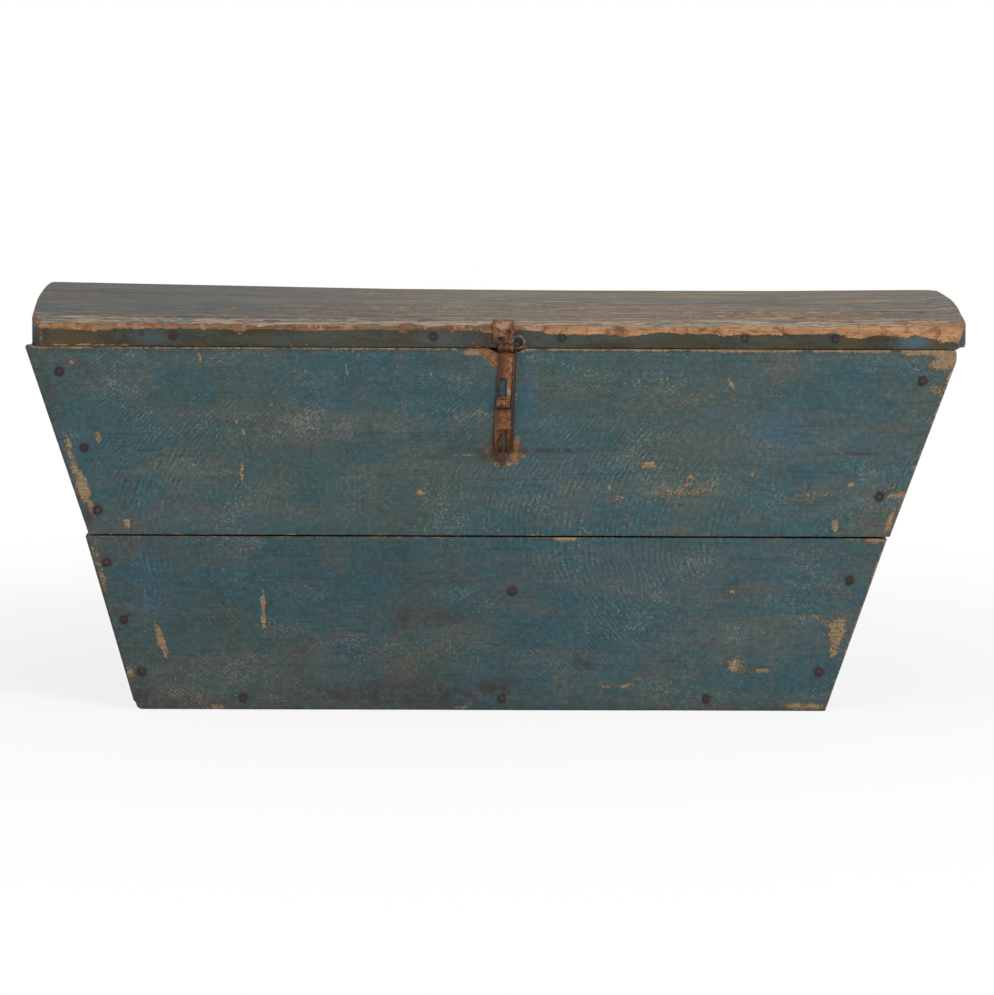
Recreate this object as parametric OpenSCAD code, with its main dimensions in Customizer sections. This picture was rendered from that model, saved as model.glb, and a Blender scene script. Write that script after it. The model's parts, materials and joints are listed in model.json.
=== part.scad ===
// Plank storage trunk: a nailed box whose ends flare outwards, a gently arched plank lid on two strap
// hinges, and a forged two-link hasp over a lock staple. Millimetres, X along the front, Y towards the
// back, Z up. The origin is the centre of the underside.

/* [Body] */
// Height of the box without its lid
body_h = 370; // [300:5:480]
// Depth of the box over the front and back boards
body_d = 400; // [340:5:480]
// Width of the front along its lower edge
bottom_w = 703; // [600:1:900]
// Lean of the left end's lower board from upright, in degrees
splay_left_low = 16; // [8:0.5:22]
// Lean of the left end's upper board from upright, in degrees
splay_left_high = 18.4; // [8:0.1:22]
// Lean of the right end's lower board from upright, in degrees
splay_right_low = 18.8; // [8:0.1:22]
// Lean of the right end's upper board from upright, in degrees
splay_right_high = 19.8; // [8:0.1:22]
// How far the upper boards start inwards of the lower ones at the left
upper_in_left = 4; // [0:0.5:6]
// How far the upper boards start outwards of the lower ones at the right
upper_out_right = 2; // [0:0.5:4]
// Thickness of the front and back boards
wall_t = 25; // [18:1:32]
// Thickness of the end boards, square to their faces
end_t = 25; // [18:1:32]
// Thickness of the bottom boards
bottom_t = 25; // [18:1:32]
// Height of the lower front, back and end boards
lower_board_h = 178; // [140:1:230]
// Open joint between an upper board and the one below it
joint_gap = 1.6; // [0.5:0.1:3]
// How far the front and back boards run past the end boards
end_cover = 3; // [1:0.5:6]
// Worn chamfer along the outer long edges of boards
edge_wear = 1.5; // [0.5:0.25:3]
// Gap between neighbouring bottom boards
floor_gap = 1.5; // [0.5:0.5:4]
// Width of the upright battens inside the front and the back
batten_w = 60; // [50:1:80]
// Thickness of the upright battens
batten_t = 20; // [14:1:28]
// Distance from a batten's top to the rim of the box
batten_drop = 18; // [10:1:40]

/* [Lid] */
// Gap between the rim of the box and the lid
lid_gap = 1.4; // [0.8:0.1:3]
// How far the lid runs past the front boards' left end, negative when short of it
lid_over_left = -7; // [-8:0.2:10]
// How far the lid runs past the front boards' right end
lid_over_right = 6.9; // [-8:0.1:14]
// How far the front boards stand proud of the lid's front edge
lid_setback = 2; // [0:0.5:4]
// How far the lid runs past the back boards
lid_over_back = 12; // [8:0.5:14]
// Height of the lid's upright edge
edge_h = 20; // [16:1:28]
// Rise of the arch above the upright edge
arch_rise = 23; // [18:1:34]
// Thickness of the lid boards
lid_board_t = 24; // [14:1:26]
// Thickness of the edge strips along the lid's front and back
strip_t = 20; // [17:1:24]
// Distance from the lid's front edge to the first seam of its boards
seam_front = 168; // [130:1:190]
// Distance from the lid's front edge to the second seam of its boards
seam_back = 292; // [260:1:310]
// Open gap in a seam of the lid
seam_gap = 0.8; // [0.4:0.1:2]
// Cut across each front corner of the lid, along its length
corner_cut_x = 9; // [4:1:14]
// Cut across each front corner of the lid, along its depth
corner_cut_y = 14; // [6:1:16]
// Width of the battens under the lid's ends
lid_end_batten_w = 28; // [20:1:40]
// Width of the battens that carry the hinge straps
hinge_batten_w = 58; // [44:1:80]

/* [Hinges] */
// Distance between the two strap hinges
hinge_spacing = 520; // [400:10:600]
// Width of a hinge strap at its knuckle
strap_w = 30; // [24:1:40]
// Width of a hinge strap at its far end
strap_end_w = 16; // [12:1:22]
// How far the hinge pins lie behind the back boards
hinge_out = 2.5; // [2.2:0.1:3]
// Thickness of a hinge strap
strap_t = 2.5; // [2:0.1:4]
// Length of the strap under the lid, from the pin
lid_strap_l = 230; // [150:5:300]
// Length of the strap down the back, from the pin
body_strap_l = 116; // [80:2:160]
// Radius of a hinge pin
hinge_pin_r = 2.5; // [2:0.1:3]
// Outer radius of a hinge knuckle
knuckle_r = 5; // [4.5:0.1:6]
// Radial play of a pin in its knuckles
pin_play = 0.05; // [0.02:0.01:0.1]
// Gap between neighbouring knuckles on one pin
knuckle_gap = 0.4; // [0.3:0.1:1]
// Play around a knuckle in the notches of the wood
notch_play = 1; // [0.6:0.1:2]
// Room beside a hinge in the notches of the wood
notch_side = 2.5; // [2:0.1:4]

/* [Hasp] */
// Place of the hasp along the front where it hangs from the lid
hasp_top_x = 25; // [-60:1:60]
// Sideways lean of the hasp between its two pivots, towards the left
hasp_lean = 3; // [-4:0.5:4]
// Width of the plate nailed to the lid
lid_plate_w = 15; // [12:0.5:22]
// Thickness of the plate nailed to the lid
lid_plate_t = 2; // [1.4:0.1:2.2]
// How far the lid plate runs back over the lid's top
lid_plate_over = 22; // [12:1:40]
// Width of the upper link
link_w = 14; // [12:0.5:20]
// Thickness of the upper link and of the slotted plate
hasp_t = 2.6; // [2:0.1:3]
// Distance between the two pivots of the hasp
link_l = 56; // [44:1:70]
// Width of the window in the upper link
window_w = 7; // [5:0.5:8]
// Height of the window in the upper link
window_h = 18; // [8:1:22]
// Width of the slotted plate
slotted_w = 17; // [15:0.5:22]
// Length of the slotted plate below its pivot
slotted_l = 62; // [60:1:80]
// Width of the slot
slot_w = 8.4; // [7:0.2:10]
// Radius of the hasp's pivot pins
hasp_pin_r = 1.5; // [1.2:0.1:2]
// Outer radius of the upper hasp knuckles
top_knuckle_r = 4; // [3.5:0.1:4.5]
// Outer radius of the lower hasp knuckles
low_knuckle_r = 4.2; // [3.6:0.1:5]
// Radius of the curl at the end of the upper pivot pin
curl_r = 6.1; // [4:0.1:8]
// Radius of the wire of the hook that hangs beside the hasp
hook_wire_r = 1.1; // [0.8:0.1:1.3]
// Distance from the hook's pin down to where its end starts to bend
hook_l = 101; // [80:1:110]
// Clearance between the hasp and the front boards
hasp_clear = 0.5; // [0.3:0.1:1.5]
// Radius of the lock staple's wire
staple_r = 2; // [1.5:0.1:2.5]
// Distance between the legs of the lock staple
staple_span = 12; // [10:0.5:14]
// How far the lock staple stands out from the front boards
staple_out = 18; // [14:0.5:22]
// Distance from the lower pivot down to the upper leg of the lock staple
staple_drop = 32; // [31:0.5:34]
// Free room in the slot above and below the lock staple
slot_room = 3.5; // [3:0.5:5]

/* [Nails] */
// Radius of a large nail head
head_r = 4.5; // [3:0.1:6]
// Thickness of a nail head
head_t = 1.4; // [0.8:0.1:2]
// Radius of a nail's shank
shank_r = 1.7; // [1:0.1:2]
// Play around a shank in its hole
nail_play = 0.05; // [0.02:0.01:0.1]
// Length of the nails that go through a wall board
wall_nail_l = 52; // [40:1:60]
// Radius of the small nail heads on the ironwork
small_head_r = 2.8; // [2:0.1:3.5]
// Depth that the nail heads on the lid's top are sunk into its boards
lid_head_sink = 1.2; // [0.4:0.1:1.4]

/* [Hidden] */
$fn = 96;

PAINT = [0.27, 0.38, 0.41];
LID_PAINT = [0.40, 0.42, 0.40];
BARE_WOOD = [0.62, 0.47, 0.32];
RUSTY_IRON = [0.30, 0.21, 0.16];
NAIL_IRON = [0.16, 0.14, 0.13];
WORN_STEEL = [0.42, 0.41, 0.40];

// Past the faces that a cut goes through
CUT = 1;
front_y = -body_d / 2;
back_y = body_d / 2;
upper_board_z = lower_board_h + joint_gap;
// The lower edge's middle lies this far right of the origin
foot_shift = 1.8;
foot_left = foot_shift - bottom_w / 2;
foot_right = foot_shift + bottom_w / 2;
knee_left = foot_left - upper_board_z * tan(splay_left_low) + upper_in_left;
knee_right = foot_right + upper_board_z * tan(splay_right_low) + upper_out_right;
function splay_left(z) = z < upper_board_z ? splay_left_low : splay_left_high;
function splay_right(z) = z < upper_board_z ? splay_right_low : splay_right_high;

// Ends of the front and back boards at height z
function left_x(z) = z < upper_board_z
    ? foot_left - z * tan(splay_left_low)
    : knee_left - (z - upper_board_z) * tan(splay_left_high);
function right_x(z) = z < upper_board_z
    ? foot_right + z * tan(splay_right_low)
    : knee_right + (z - upper_board_z) * tan(splay_right_high);
// Widths of the end boards along X, and their inner faces, at height z
function end_w_left(z) = end_t / cos(splay_left(z));
function end_w_right(z) = end_t / cos(splay_right(z));
function left_inner_x(z) = left_x(z) + end_cover + end_w_left(z);
function right_inner_x(z) = right_x(z) - end_cover - end_w_right(z);

floor_d = body_d - 2 * wall_t;
floor_board_d = (floor_d - 2 * floor_gap) / 3;

lid_left = left_x(body_h) - lid_over_left;
lid_right = right_x(body_h) + lid_over_right;
lid_mid_x = (lid_left + lid_right) / 2;
lid_z = body_h + lid_gap;
lid_front_y = front_y + lid_setback;
lid_back_y = back_y + lid_over_back;
lid_d = lid_back_y - lid_front_y;
// Angle on the arch, from 0 at the front edge to 180 at the back edge, at a distance d from the front
function arch_angle(d) = acos(1 - 2 * d / lid_d);
// Point of the arch at that angle, moved out along its normal
function arch_point(angle, out = 0) =
    let (a = lid_d / 2, b = arch_rise, n = norm([b * cos(angle), a * sin(angle)]))
    [lid_front_y + a * (1 - cos(angle)) - out * b * cos(angle) / n,
     lid_z + edge_h + b * sin(angle) + out * a * sin(angle) / n];
// Points of the arch from a distance d0 to a distance d1 behind the front edge
function arch_points(d0, d1, steps, out = 0) =
    let (a0 = arch_angle(d0), a1 = arch_angle(d1))
    [for (i = [0:steps]) arch_point(a0 + (a1 - a0) * i / steps, out)];

hinge_y = back_y + hinge_out;
hinge_z = body_h;
hinge_xs = [lid_mid_x - hinge_spacing / 2, lid_mid_x + hinge_spacing / 2];
knuckle_w = (strap_w - 2 * knuckle_gap) / 3;
hinge_bore_r = hinge_pin_r + pin_play;
notch_r = knuckle_r + notch_play;
notch_w = strap_w + 2 * notch_side;
// How far a lid strap reaches below the rim of the box
strap_under = strap_t - lid_gap;
strap_clear = 0.4;
// Straight length of a strap before it narrows, and its tip's radius as a share of its end's width
strap_shoulder = 12;
strap_tip = 0.7;
// Rivet heads on the ends of a pin: thickness, and how far they stand out around the pin inside and outside
pin_over = 1.5;
pin_head_t = 1.4;
pin_head_gap = 0.3;
pin_head_in = 1;
pin_head_out = 0.4;

hasp_low_x = hasp_top_x - hasp_lean;
// Gap under the plate that is bent over the lid's edge, and the plate's outer face
plate_seat = 0.2;
lid_plate_y = lid_front_y - plate_seat - lid_plate_t;
hasp_back_y = front_y - hasp_clear;
pivot_z = body_h + 1;
low_knuckle_seat = 0.1;
top_pivot = [lid_front_y - top_knuckle_r, pivot_z];
low_pivot = [hasp_back_y - low_knuckle_seat - low_knuckle_r, pivot_z - link_l];
hasp_bore_r = hasp_pin_r + pin_play;
top_knuckle_w = (lid_plate_w - 2 * knuckle_gap) / 3;
low_knuckle_w = (link_w - 2 * knuckle_gap) / 3;
staple_top_z = low_pivot[1] - staple_drop;
staple_low_z = staple_top_z - staple_span;
slot_top_z = staple_top_z + staple_r + slot_room;
slot_low_z = staple_low_z - staple_r - slot_room;
slotted_low_z = low_pivot[1] - slotted_l;
// Hollow worn into the rim and into the lid's edge around the upper knuckles
hollow_r = 30;
hollow_depth = 5.5;
hollow_depth_lid = 2;
hollow_in = 9;
// Distance from the lid plate's edge to the middle of the pin's curl, and the turn of the curl
curl_off = 4.5;
curl_turn = 278;
// Iron left between the link's window and its lower knuckles, and below the slot
low_rim = 3;
// Half the width of the slotted plate's tail, and how much wider the tail starts
tail_half = 2.6;
tail_flare = 2;
// The hook's eye around the pin, its sideways lean, and the bend and the point of its end
hook_play = 0.2;
hook_eye_wire_r = 0.9 * hook_wire_r;
hook_eye_r = hasp_pin_r + hook_play + hook_wire_r;
hook_x = hasp_top_x + lid_plate_w / 2 + curl_off / 2;
hook_lean = 1.7;
hook_bend_r = 2.7;
hook_point_l = 4;
// Farther than any part of the hasp from its pivots, for cuts
hasp_reach = 20;

// Nails through the front boards into the end boards: share of the board's height, share across the end board
front_left_upper = [[0.87, 0.89], [0.465, 0.87], [0.13, 0.54]];
front_left_lower = [[0.85, 0.43], [0.52, 0.44], [0.22, 0.54]];
front_right_upper = [[0.84, 0.9], [0.22, 0.88]];
front_right_lower = [[0.76, 0.77], [0.23, 0.68]];
// Nails into the bottom boards, as shares of half the lower edge
bottom_row = [-0.686, 0.065, 0.658];
back_upper = [[0.85, 0.65], [0.5, 0.73], [0.15, 0.65]];
back_lower = [[0.84, 0.62], [0.5, 0.69], [0.2, 0.58]];
back_row = [-0.7, -0.1, 0.42, 0.8];
bottom_row_z = bottom_t / 2;
front_batten_x = hasp_low_x + 6;
back_batten_x = 0;
batten_top = body_h - batten_drop;

// Places of the wall nails as [x, z]
function upper_z(f) = upper_board_z + f * (body_h - upper_board_z);
function left_nails(shares, z) =
    [for (s = shares) [left_x(z(s[0])) + end_cover + s[1] * end_w_left(z(s[0])), z(s[0])]];
function right_nails(shares, z) =
    [for (s = shares) [right_x(z(s[0])) - end_cover - s[1] * end_w_right(z(s[0])), z(s[0])]];
function lower_z(f) = f * lower_board_h;
function row_nails(shares) = [for (f = shares) [f * bottom_w / 2, bottom_row_z]];

front_upper_nails = concat(left_nails(front_left_upper, function (f) upper_z(f)),
                           right_nails(front_right_upper, function (f) upper_z(f)));
front_lower_nails = concat(left_nails(front_left_lower, function (f) lower_z(f)),
                           right_nails(front_right_lower, function (f) lower_z(f)),
                           row_nails(bottom_row));
back_upper_nails = concat(left_nails(back_upper, function (f) upper_z(f)),
                          right_nails(back_upper, function (f) upper_z(f)));
back_lower_nails = concat(left_nails(back_lower, function (f) lower_z(f)),
                          right_nails(back_lower, function (f) lower_z(f)),
                          row_nails(back_row));
// Shorter nails through the boards into the battens
front_centre_nails = [[front_batten_x + 0.08 * batten_w, lower_z(0.69)]];
back_centre_nails = [for (z = [lower_z(0.35), lower_z(0.75), upper_z(0.3), upper_z(0.75)]) [back_batten_x, z]];
centre_nail_l = wall_t + batten_t * 0.75;
// Nails driven through the front batten from inside, their places across it as shares of its width
batten_nail_l = batten_t + wall_t * 0.6;
batten_nails_across = [
    [-0.23, upper_z(0.82)], [0.27, upper_z(0.22)], [-0.23, lower_z(0.85)], [0.2, lower_z(0.3)]
];
batten_nails_at = [for (p = batten_nails_across) [front_batten_x + p[0] * batten_w, p[1]]];
// Nails through the end boards into the bottom boards, one pair to a board
floor_nail_ys = [for (i = [0:2]) for (s = [-0.25, 0.25])
    front_y + wall_t + (i + 0.5) * floor_board_d + i * floor_gap + s * floor_board_d];
floor_nail_z = bottom_t * 0.35;
floor_nail_l = 40;

// Nails through the lid's edge strips, as distances from the lid's middle
front_strip_nails = [-331, -68, 62, 247, 339];
back_strip_nails = [-390, -130, 40, 150, 400];
strip_nail_z = lid_z + 10.5;
strip_nail_l = 2.25 * strip_t;
strip_head_r = 3.6;
lid_head_r = 3;
// Lines of nails over the battens, beside the hinge straps
lid_nail_xs = [lid_left + lid_end_batten_w / 2, hinge_xs[0] - 0.33 * hinge_batten_w,
               hinge_xs[1] + 0.33 * hinge_batten_w, lid_right - lid_end_batten_w / 2];
lid_nail_ds = [46, 132, 196, 262, 318, 366];
lid_nail_l = lid_board_t + 5;

// Nails in the hinge straps, as shares of the strap's length from its pin
body_strap_steps = [0.26, 0.56, 0.89];
lid_strap_steps = [0.16, 0.5, 0.92];
body_strap_nails_at = [for (x = hinge_xs) for (f = body_strap_steps) [x, hinge_z - f * body_strap_l]];
lid_strap_nails_at = [for (x = hinge_xs) for (f = lid_strap_steps) [x, hinge_y - f * lid_strap_l]];
body_strap_nail_l = wall_t * 0.8;
lid_strap_nail_l = 12;

// Nails in the hasp's lid plate, as [distance from its middle, height above the lid's lower edge]
hasp_nails_at = [[-3, 9], [3, 17]];
hasp_nail_l = 18;
hasp_head_r = small_head_r - 0.4;

// A board in the plane of the front, as wide as the front at each height, with worn outer long edges
module wall_board(z0, z1, face_y, inward) {
    outline = [[left_x(z0), z0], [right_x(z0), z0], [right_x(z1), z1], [left_x(z1), z1]];
    span = right_x(body_h) - left_x(body_h) + 2 * CUT;
    intersection() {
        translate([0, face_y + (inward > 0 ? wall_t : 0), 0])
            rotate([90, 0, 0])
                linear_extrude(wall_t) polygon(outline);
        translate([left_x(body_h) - CUT, face_y, 0])
            rotate([90, 0, 90])
                linear_extrude(span) polygon([
                    [0, z0 + edge_wear], [inward * edge_wear, z0], [inward * wall_t, z0],
                    [inward * wall_t, z1], [inward * edge_wear, z1], [0, z1 - edge_wear]
                ]);
    }
}

// One end board between the front and the back, from height z0 to z1
module end_board(side, z0, z1) {
    outer = side < 0 ? function (z) left_x(z) + end_cover : function (z) right_x(z) - end_cover;
    inner = side < 0 ? function (z) left_inner_x(z) : function (z) right_inner_x(z);
    translate([0, back_y - wall_t, 0])
        rotate([90, 0, 0])
            linear_extrude(body_d - 2 * wall_t)
                polygon([[outer(z0), z0], [inner(z0), z0], [inner(z1), z1], [outer(z1), z1]]);
}

// One of the three bottom boards, cut to the lean of the ends
module floor_board(i) {
    y1 = front_y + wall_t + (i + 1) * floor_board_d + i * floor_gap;
    translate([0, y1, 0])
        rotate([90, 0, 0])
            linear_extrude(floor_board_d)
                polygon([
                    [left_inner_x(0), 0], [right_inner_x(0), 0],
                    [right_inner_x(bottom_t), bottom_t], [left_inner_x(bottom_t), bottom_t]
                ]);
}

// A nail with its point towards +Z and its head below the plane z = 0
module nail(length, radius = head_r) {
    point_l = 2 * shank_r;
    translate([0, 0, -head_t])
        cylinder(h = head_t, r1 = radius * 0.7, r2 = radius);
    cylinder(h = length - point_l, r = shank_r);
    translate([0, 0, length - point_l])
        cylinder(h = point_l, r1 = shank_r, r2 = shank_r * 0.2);
}

// The hole that a nail of this length fills
module nail_hole(length) {
    translate([0, 0, -CUT])
        cylinder(h = length + CUT, r = shank_r + nail_play);
}

module at_front(places) {
    for (p = places) translate([p[0], front_y, p[1]]) rotate([-90, 0, 0]) children();
}

module at_back(places) {
    for (p = places) translate([p[0], back_y, p[1]]) rotate([90, 0, 0]) children();
}

module at_front_batten(places) {
    for (p = places) translate([p[0], front_y + wall_t + batten_t, p[1]]) rotate([90, 0, 0]) children();
}

// Places on the outer face of an end, square to it, for the nails into the bottom boards
module at_end_floor(side) {
    splay = side < 0 ? splay_left_low : splay_right_low;
    x = side < 0 ? left_x(floor_nail_z) + end_cover : right_x(floor_nail_z) - end_cover;
    for (y = floor_nail_ys)
        translate([x, y, floor_nail_z]) rotate([0, side < 0 ? 90 - splay : -90 + splay, 0]) children();
}

// The two legs of the lock staple, as wire or, with some play, as holes
module staple_legs(y0, y1, play = 0) {
    for (z = [staple_top_z, staple_low_z])
        translate([hasp_low_x, y0, z]) rotate([-90, 0, 0]) cylinder(h = y1 - y0, r = staple_r + play);
}

// The hollow worn into an edge at this height, its middle above the edge or below it
module worn_hollow(z_edge, depth, up) {
    translate([hasp_top_x, front_y - CUT, z_edge + up * (hollow_r - depth)])
        rotate([-90, 0, 0]) cylinder(h = hollow_in + CUT, r = hollow_r);
}

module front_board_lower() {
    color(PAINT) difference() {
        wall_board(0, lower_board_h, front_y, 1);
        at_front(front_lower_nails) nail_hole(wall_nail_l);
        at_front(front_centre_nails) nail_hole(centre_nail_l);
        at_front_batten(batten_nails_at) nail_hole(batten_nail_l);
    }
}

module front_board_upper() {
    color(PAINT) difference() {
        wall_board(upper_board_z, body_h, front_y, 1);
        at_front(front_upper_nails) nail_hole(wall_nail_l);
        at_front_batten(batten_nails_at) nail_hole(batten_nail_l);
        staple_legs(front_y - CUT, front_y + wall_t + CUT, nail_play);
        worn_hollow(body_h, hollow_depth, 1);
    }
}

module back_board_lower() {
    color(PAINT) difference() {
        wall_board(0, lower_board_h, back_y, -1);
        at_back(back_lower_nails) nail_hole(wall_nail_l);
        at_back(back_centre_nails) nail_hole(centre_nail_l);
    }
}

module back_board_upper() {
    color(PAINT) difference() {
        wall_board(upper_board_z, body_h, back_y, -1);
        at_back(back_upper_nails) nail_hole(wall_nail_l);
        at_back(back_centre_nails) nail_hole(centre_nail_l);
        at_back(body_strap_nails_at) nail_hole(body_strap_nail_l);
        for (x = hinge_xs) {
            translate([x - notch_w / 2, hinge_y, hinge_z])
                rotate([0, 90, 0]) cylinder(h = notch_w, r = notch_r);
            translate([x - notch_w / 2, back_y - wall_t - CUT, body_h - strap_under - strap_clear])
                cube([notch_w, wall_t + 2 * CUT, strap_t + CUT]);
        }
    }
}

module left_end_board_lower() { end_board_nailed(-1, 0, lower_board_h); }
module left_end_board_upper() { end_board_nailed(-1, upper_board_z, body_h); }
module right_end_board_lower() { end_board_nailed(1, 0, lower_board_h); }
module right_end_board_upper() { end_board_nailed(1, upper_board_z, body_h); }

module end_board_nailed(side, z0, z1) {
    color(PAINT) difference() {
        end_board(side, z0, z1);
        at_front(concat(front_upper_nails, front_lower_nails)) nail_hole(wall_nail_l);
        at_back(concat(back_upper_nails, back_lower_nails)) nail_hole(wall_nail_l);
        at_end_floor(side) nail_hole(floor_nail_l);
    }
}

module bottom_board(i) {
    color(BARE_WOOD) difference() {
        floor_board(i);
        at_front(row_nails(bottom_row)) nail_hole(wall_nail_l);
        at_back(row_nails(back_row)) nail_hole(wall_nail_l);
        at_end_floor(-1) nail_hole(floor_nail_l);
        at_end_floor(1) nail_hole(floor_nail_l);
    }
}

module bottom_board_front() { bottom_board(0); }
module bottom_board_middle() { bottom_board(1); }
module bottom_board_back() { bottom_board(2); }

module front_batten() {
    color(BARE_WOOD) difference() {
        translate([front_batten_x - batten_w / 2, front_y + wall_t, bottom_t])
            cube([batten_w, batten_t, batten_top - bottom_t]);
        at_front(front_centre_nails) nail_hole(centre_nail_l);
        at_front_batten(batten_nails_at) nail_hole(batten_nail_l);
        staple_legs(front_y, front_y + wall_t + batten_t + CUT, nail_play);
    }
}

module back_batten() {
    color(BARE_WOOD) difference() {
        translate([back_batten_x - batten_w / 2, back_y - wall_t - batten_t, bottom_t])
            cube([batten_w, batten_t, batten_top - bottom_t]);
        at_back(back_centre_nails) nail_hole(centre_nail_l);
    }
}

module front_nails() {
    color(NAIL_IRON) {
        at_front(concat(front_upper_nails, front_lower_nails)) nail(wall_nail_l);
        at_front(front_centre_nails) nail(centre_nail_l);
    }
}

module back_nails() {
    color(NAIL_IRON) {
        at_back(concat(back_upper_nails, back_lower_nails)) nail(wall_nail_l);
        at_back(back_centre_nails) nail(centre_nail_l);
    }
}

module left_end_nails() {
    color(NAIL_IRON) at_end_floor(-1) nail(floor_nail_l);
}

module right_end_nails() {
    color(NAIL_IRON) at_end_floor(1) nail(floor_nail_l);
}

module batten_nails() {
    color(NAIL_IRON) at_front_batten(batten_nails_at) nail(batten_nail_l);
}

// Wire bow through the front board and the batten behind it, its two ends clenched apart inside
module lock_staple() {
    bow_y = front_y - staple_out + staple_r + staple_span / 2;
    clench_r = staple_r * 0.85;
    clench_l = 12;
    clench_y = front_y + wall_t + batten_t + clench_r;
    color(RUSTY_IRON) {
        translate([hasp_low_x, bow_y, (staple_top_z + staple_low_z) / 2])
            rotate([0, -90, 0]) rotate([0, 0, 180])
                rotate_extrude(angle = 180)
                    translate([staple_span / 2, 0]) circle(r = staple_r);
        staple_legs(bow_y, clench_y + clench_r);
        for (end = [[staple_top_z, 0], [staple_low_z, 180]])
            translate([hasp_low_x, clench_y, end[0]])
                rotate([end[1], 0, 0]) cylinder(h = clench_l, r1 = clench_r, r2 = clench_r / 2);
    }
}

// Flat outline of a forged strap that starts at y0, narrows, and ends in a round tip at y1
module strap_outline(y0, y1) {
    tip_r = strap_end_w * strap_tip;
    neck = y1 - 1.6 * tip_r;
    polygon([
        [-strap_w / 2, y0], [strap_w / 2, y0], [strap_w / 2, y0 + strap_shoulder],
        [strap_end_w / 2, neck], [-strap_end_w / 2, neck], [-strap_w / 2, y0 + strap_shoulder]
    ]);
    translate([0, y1 - tip_r]) circle(r = tip_r);
}

module at_lid_strap(places) {
    for (p = places) translate([p[0], p[1], lid_z - strap_t]) children();
}

module body_strap(x) {
    color(RUSTY_IRON) difference() {
        union() {
            translate([x, back_y, hinge_z])
                rotate([-90, 0, 0])
                    linear_extrude(strap_t)
                        strap_outline(knuckle_r + notch_play, body_strap_l);
            for (side = [-1, 1]) {
                tab_x = x + side * (knuckle_w + knuckle_gap);
                translate([tab_x - knuckle_w / 2, back_y, hinge_z - knuckle_r - notch_play - CUT])
                    cube([knuckle_w, strap_t, knuckle_r + notch_play + CUT]);
                translate([tab_x - knuckle_w / 2, hinge_y, hinge_z])
                    rotate([0, 90, 0]) cylinder(h = knuckle_w, r = knuckle_r);
            }
        }
        hinge_bore(x);
        for (p = body_strap_nails_at)
            translate([p[0], back_y - CUT, p[1]])
                rotate([-90, 0, 0]) cylinder(h = strap_t + 2 * CUT, r = shank_r + nail_play);
    }
}

module hinge_bore(x) {
    translate([x - strap_w / 2 - CUT, hinge_y, hinge_z])
        rotate([0, 90, 0]) cylinder(h = strap_w + 2 * CUT, r = hinge_bore_r);
}

module lid_strap(x) {
    color(RUSTY_IRON) difference() {
        union() {
            translate([x, hinge_y, lid_z - strap_t])
                linear_extrude(strap_t)
                    mirror([0, 1, 0]) strap_outline(knuckle_r + notch_play, lid_strap_l);
            translate([x - knuckle_w / 2, hinge_y - knuckle_r - notch_play - CUT, lid_z - strap_t])
                cube([knuckle_w, knuckle_r + notch_play + CUT, strap_t]);
            translate([x - knuckle_w / 2, hinge_y, hinge_z])
                rotate([0, 90, 0]) cylinder(h = knuckle_w, r = knuckle_r);
        }
        hinge_bore(x);
        for (p = lid_strap_nails_at)
            translate([p[0], p[1], lid_z - strap_t - CUT])
                cylinder(h = strap_t + 2 * CUT, r = shank_r + nail_play);
    }
}

// A pin along X through knuckles of this width, a rivet head on each end
module riveted_pin(x, y, z, width, radius) {
    translate([x - width / 2 - pin_over, y, z])
        rotate([0, 90, 0]) cylinder(h = width + 2 * pin_over, r = radius);
    for (side = [-1, 1])
        translate([x + side * (width / 2 + pin_head_gap), y, z])
            rotate([0, side * 90, 0])
                cylinder(h = pin_head_t, r1 = radius + pin_head_in, r2 = radius + pin_head_out);
}

module hinge_pin(x) {
    color(WORN_STEEL) riveted_pin(x, hinge_y, hinge_z, strap_w, hinge_pin_r);
}

module left_hinge_body_strap() { body_strap(hinge_xs[0]); }
module right_hinge_body_strap() { body_strap(hinge_xs[1]); }
module left_hinge_lid_strap() { lid_strap(hinge_xs[0]); }
module right_hinge_lid_strap() { lid_strap(hinge_xs[1]); }
module left_hinge_pin() { hinge_pin(hinge_xs[0]); }
module right_hinge_pin() { hinge_pin(hinge_xs[1]); }

module body_strap_nails() {
    color(NAIL_IRON)
        for (p = body_strap_nails_at)
            translate([p[0], back_y + strap_t, p[1]])
                rotate([90, 0, 0]) nail(body_strap_nail_l + strap_t, small_head_r);
}

module lid_strap_nails() {
    color(NAIL_IRON) at_lid_strap(lid_strap_nails_at) nail(lid_strap_nail_l, small_head_r);
}

// A piece of the lid with this outline in Y and Z, from x0 to x1
module lid_length(x0, x1, outline) {
    translate([x0, 0, 0]) rotate([90, 0, 90]) linear_extrude(x1 - x0) polygon(outline);
}

// The lid's plan with its two front corners cut away
module lid_plan() {
    linear_extrude(lid_z + edge_h + arch_rise + CUT)
        polygon([
            [lid_left, lid_front_y + corner_cut_y], [lid_left + corner_cut_x, lid_front_y],
            [lid_right - corner_cut_x, lid_front_y], [lid_right, lid_front_y + corner_cut_y],
            [lid_right, lid_back_y], [lid_left, lid_back_y]
        ]);
}

module at_lid_front(places) {
    for (x = places)
        translate([lid_mid_x + x, lid_front_y, strip_nail_z]) rotate([-90, 0, 0]) children();
}

module at_lid_back(places) {
    for (x = places)
        translate([lid_mid_x + x, lid_back_y, strip_nail_z]) rotate([90, 0, 0]) children();
}

// Places on the lid's arch above the battens, square to the boards
module at_lid_top() {
    for (x = lid_nail_xs) for (d = lid_nail_ds) {
        p = arch_point(arch_angle(d));
        outward = arch_point(arch_angle(d), 1) - p;
        translate([x, p[0], p[1]]) rotate([atan2(outward[0], -outward[1]), 0, 0]) children();
    }
}

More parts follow.
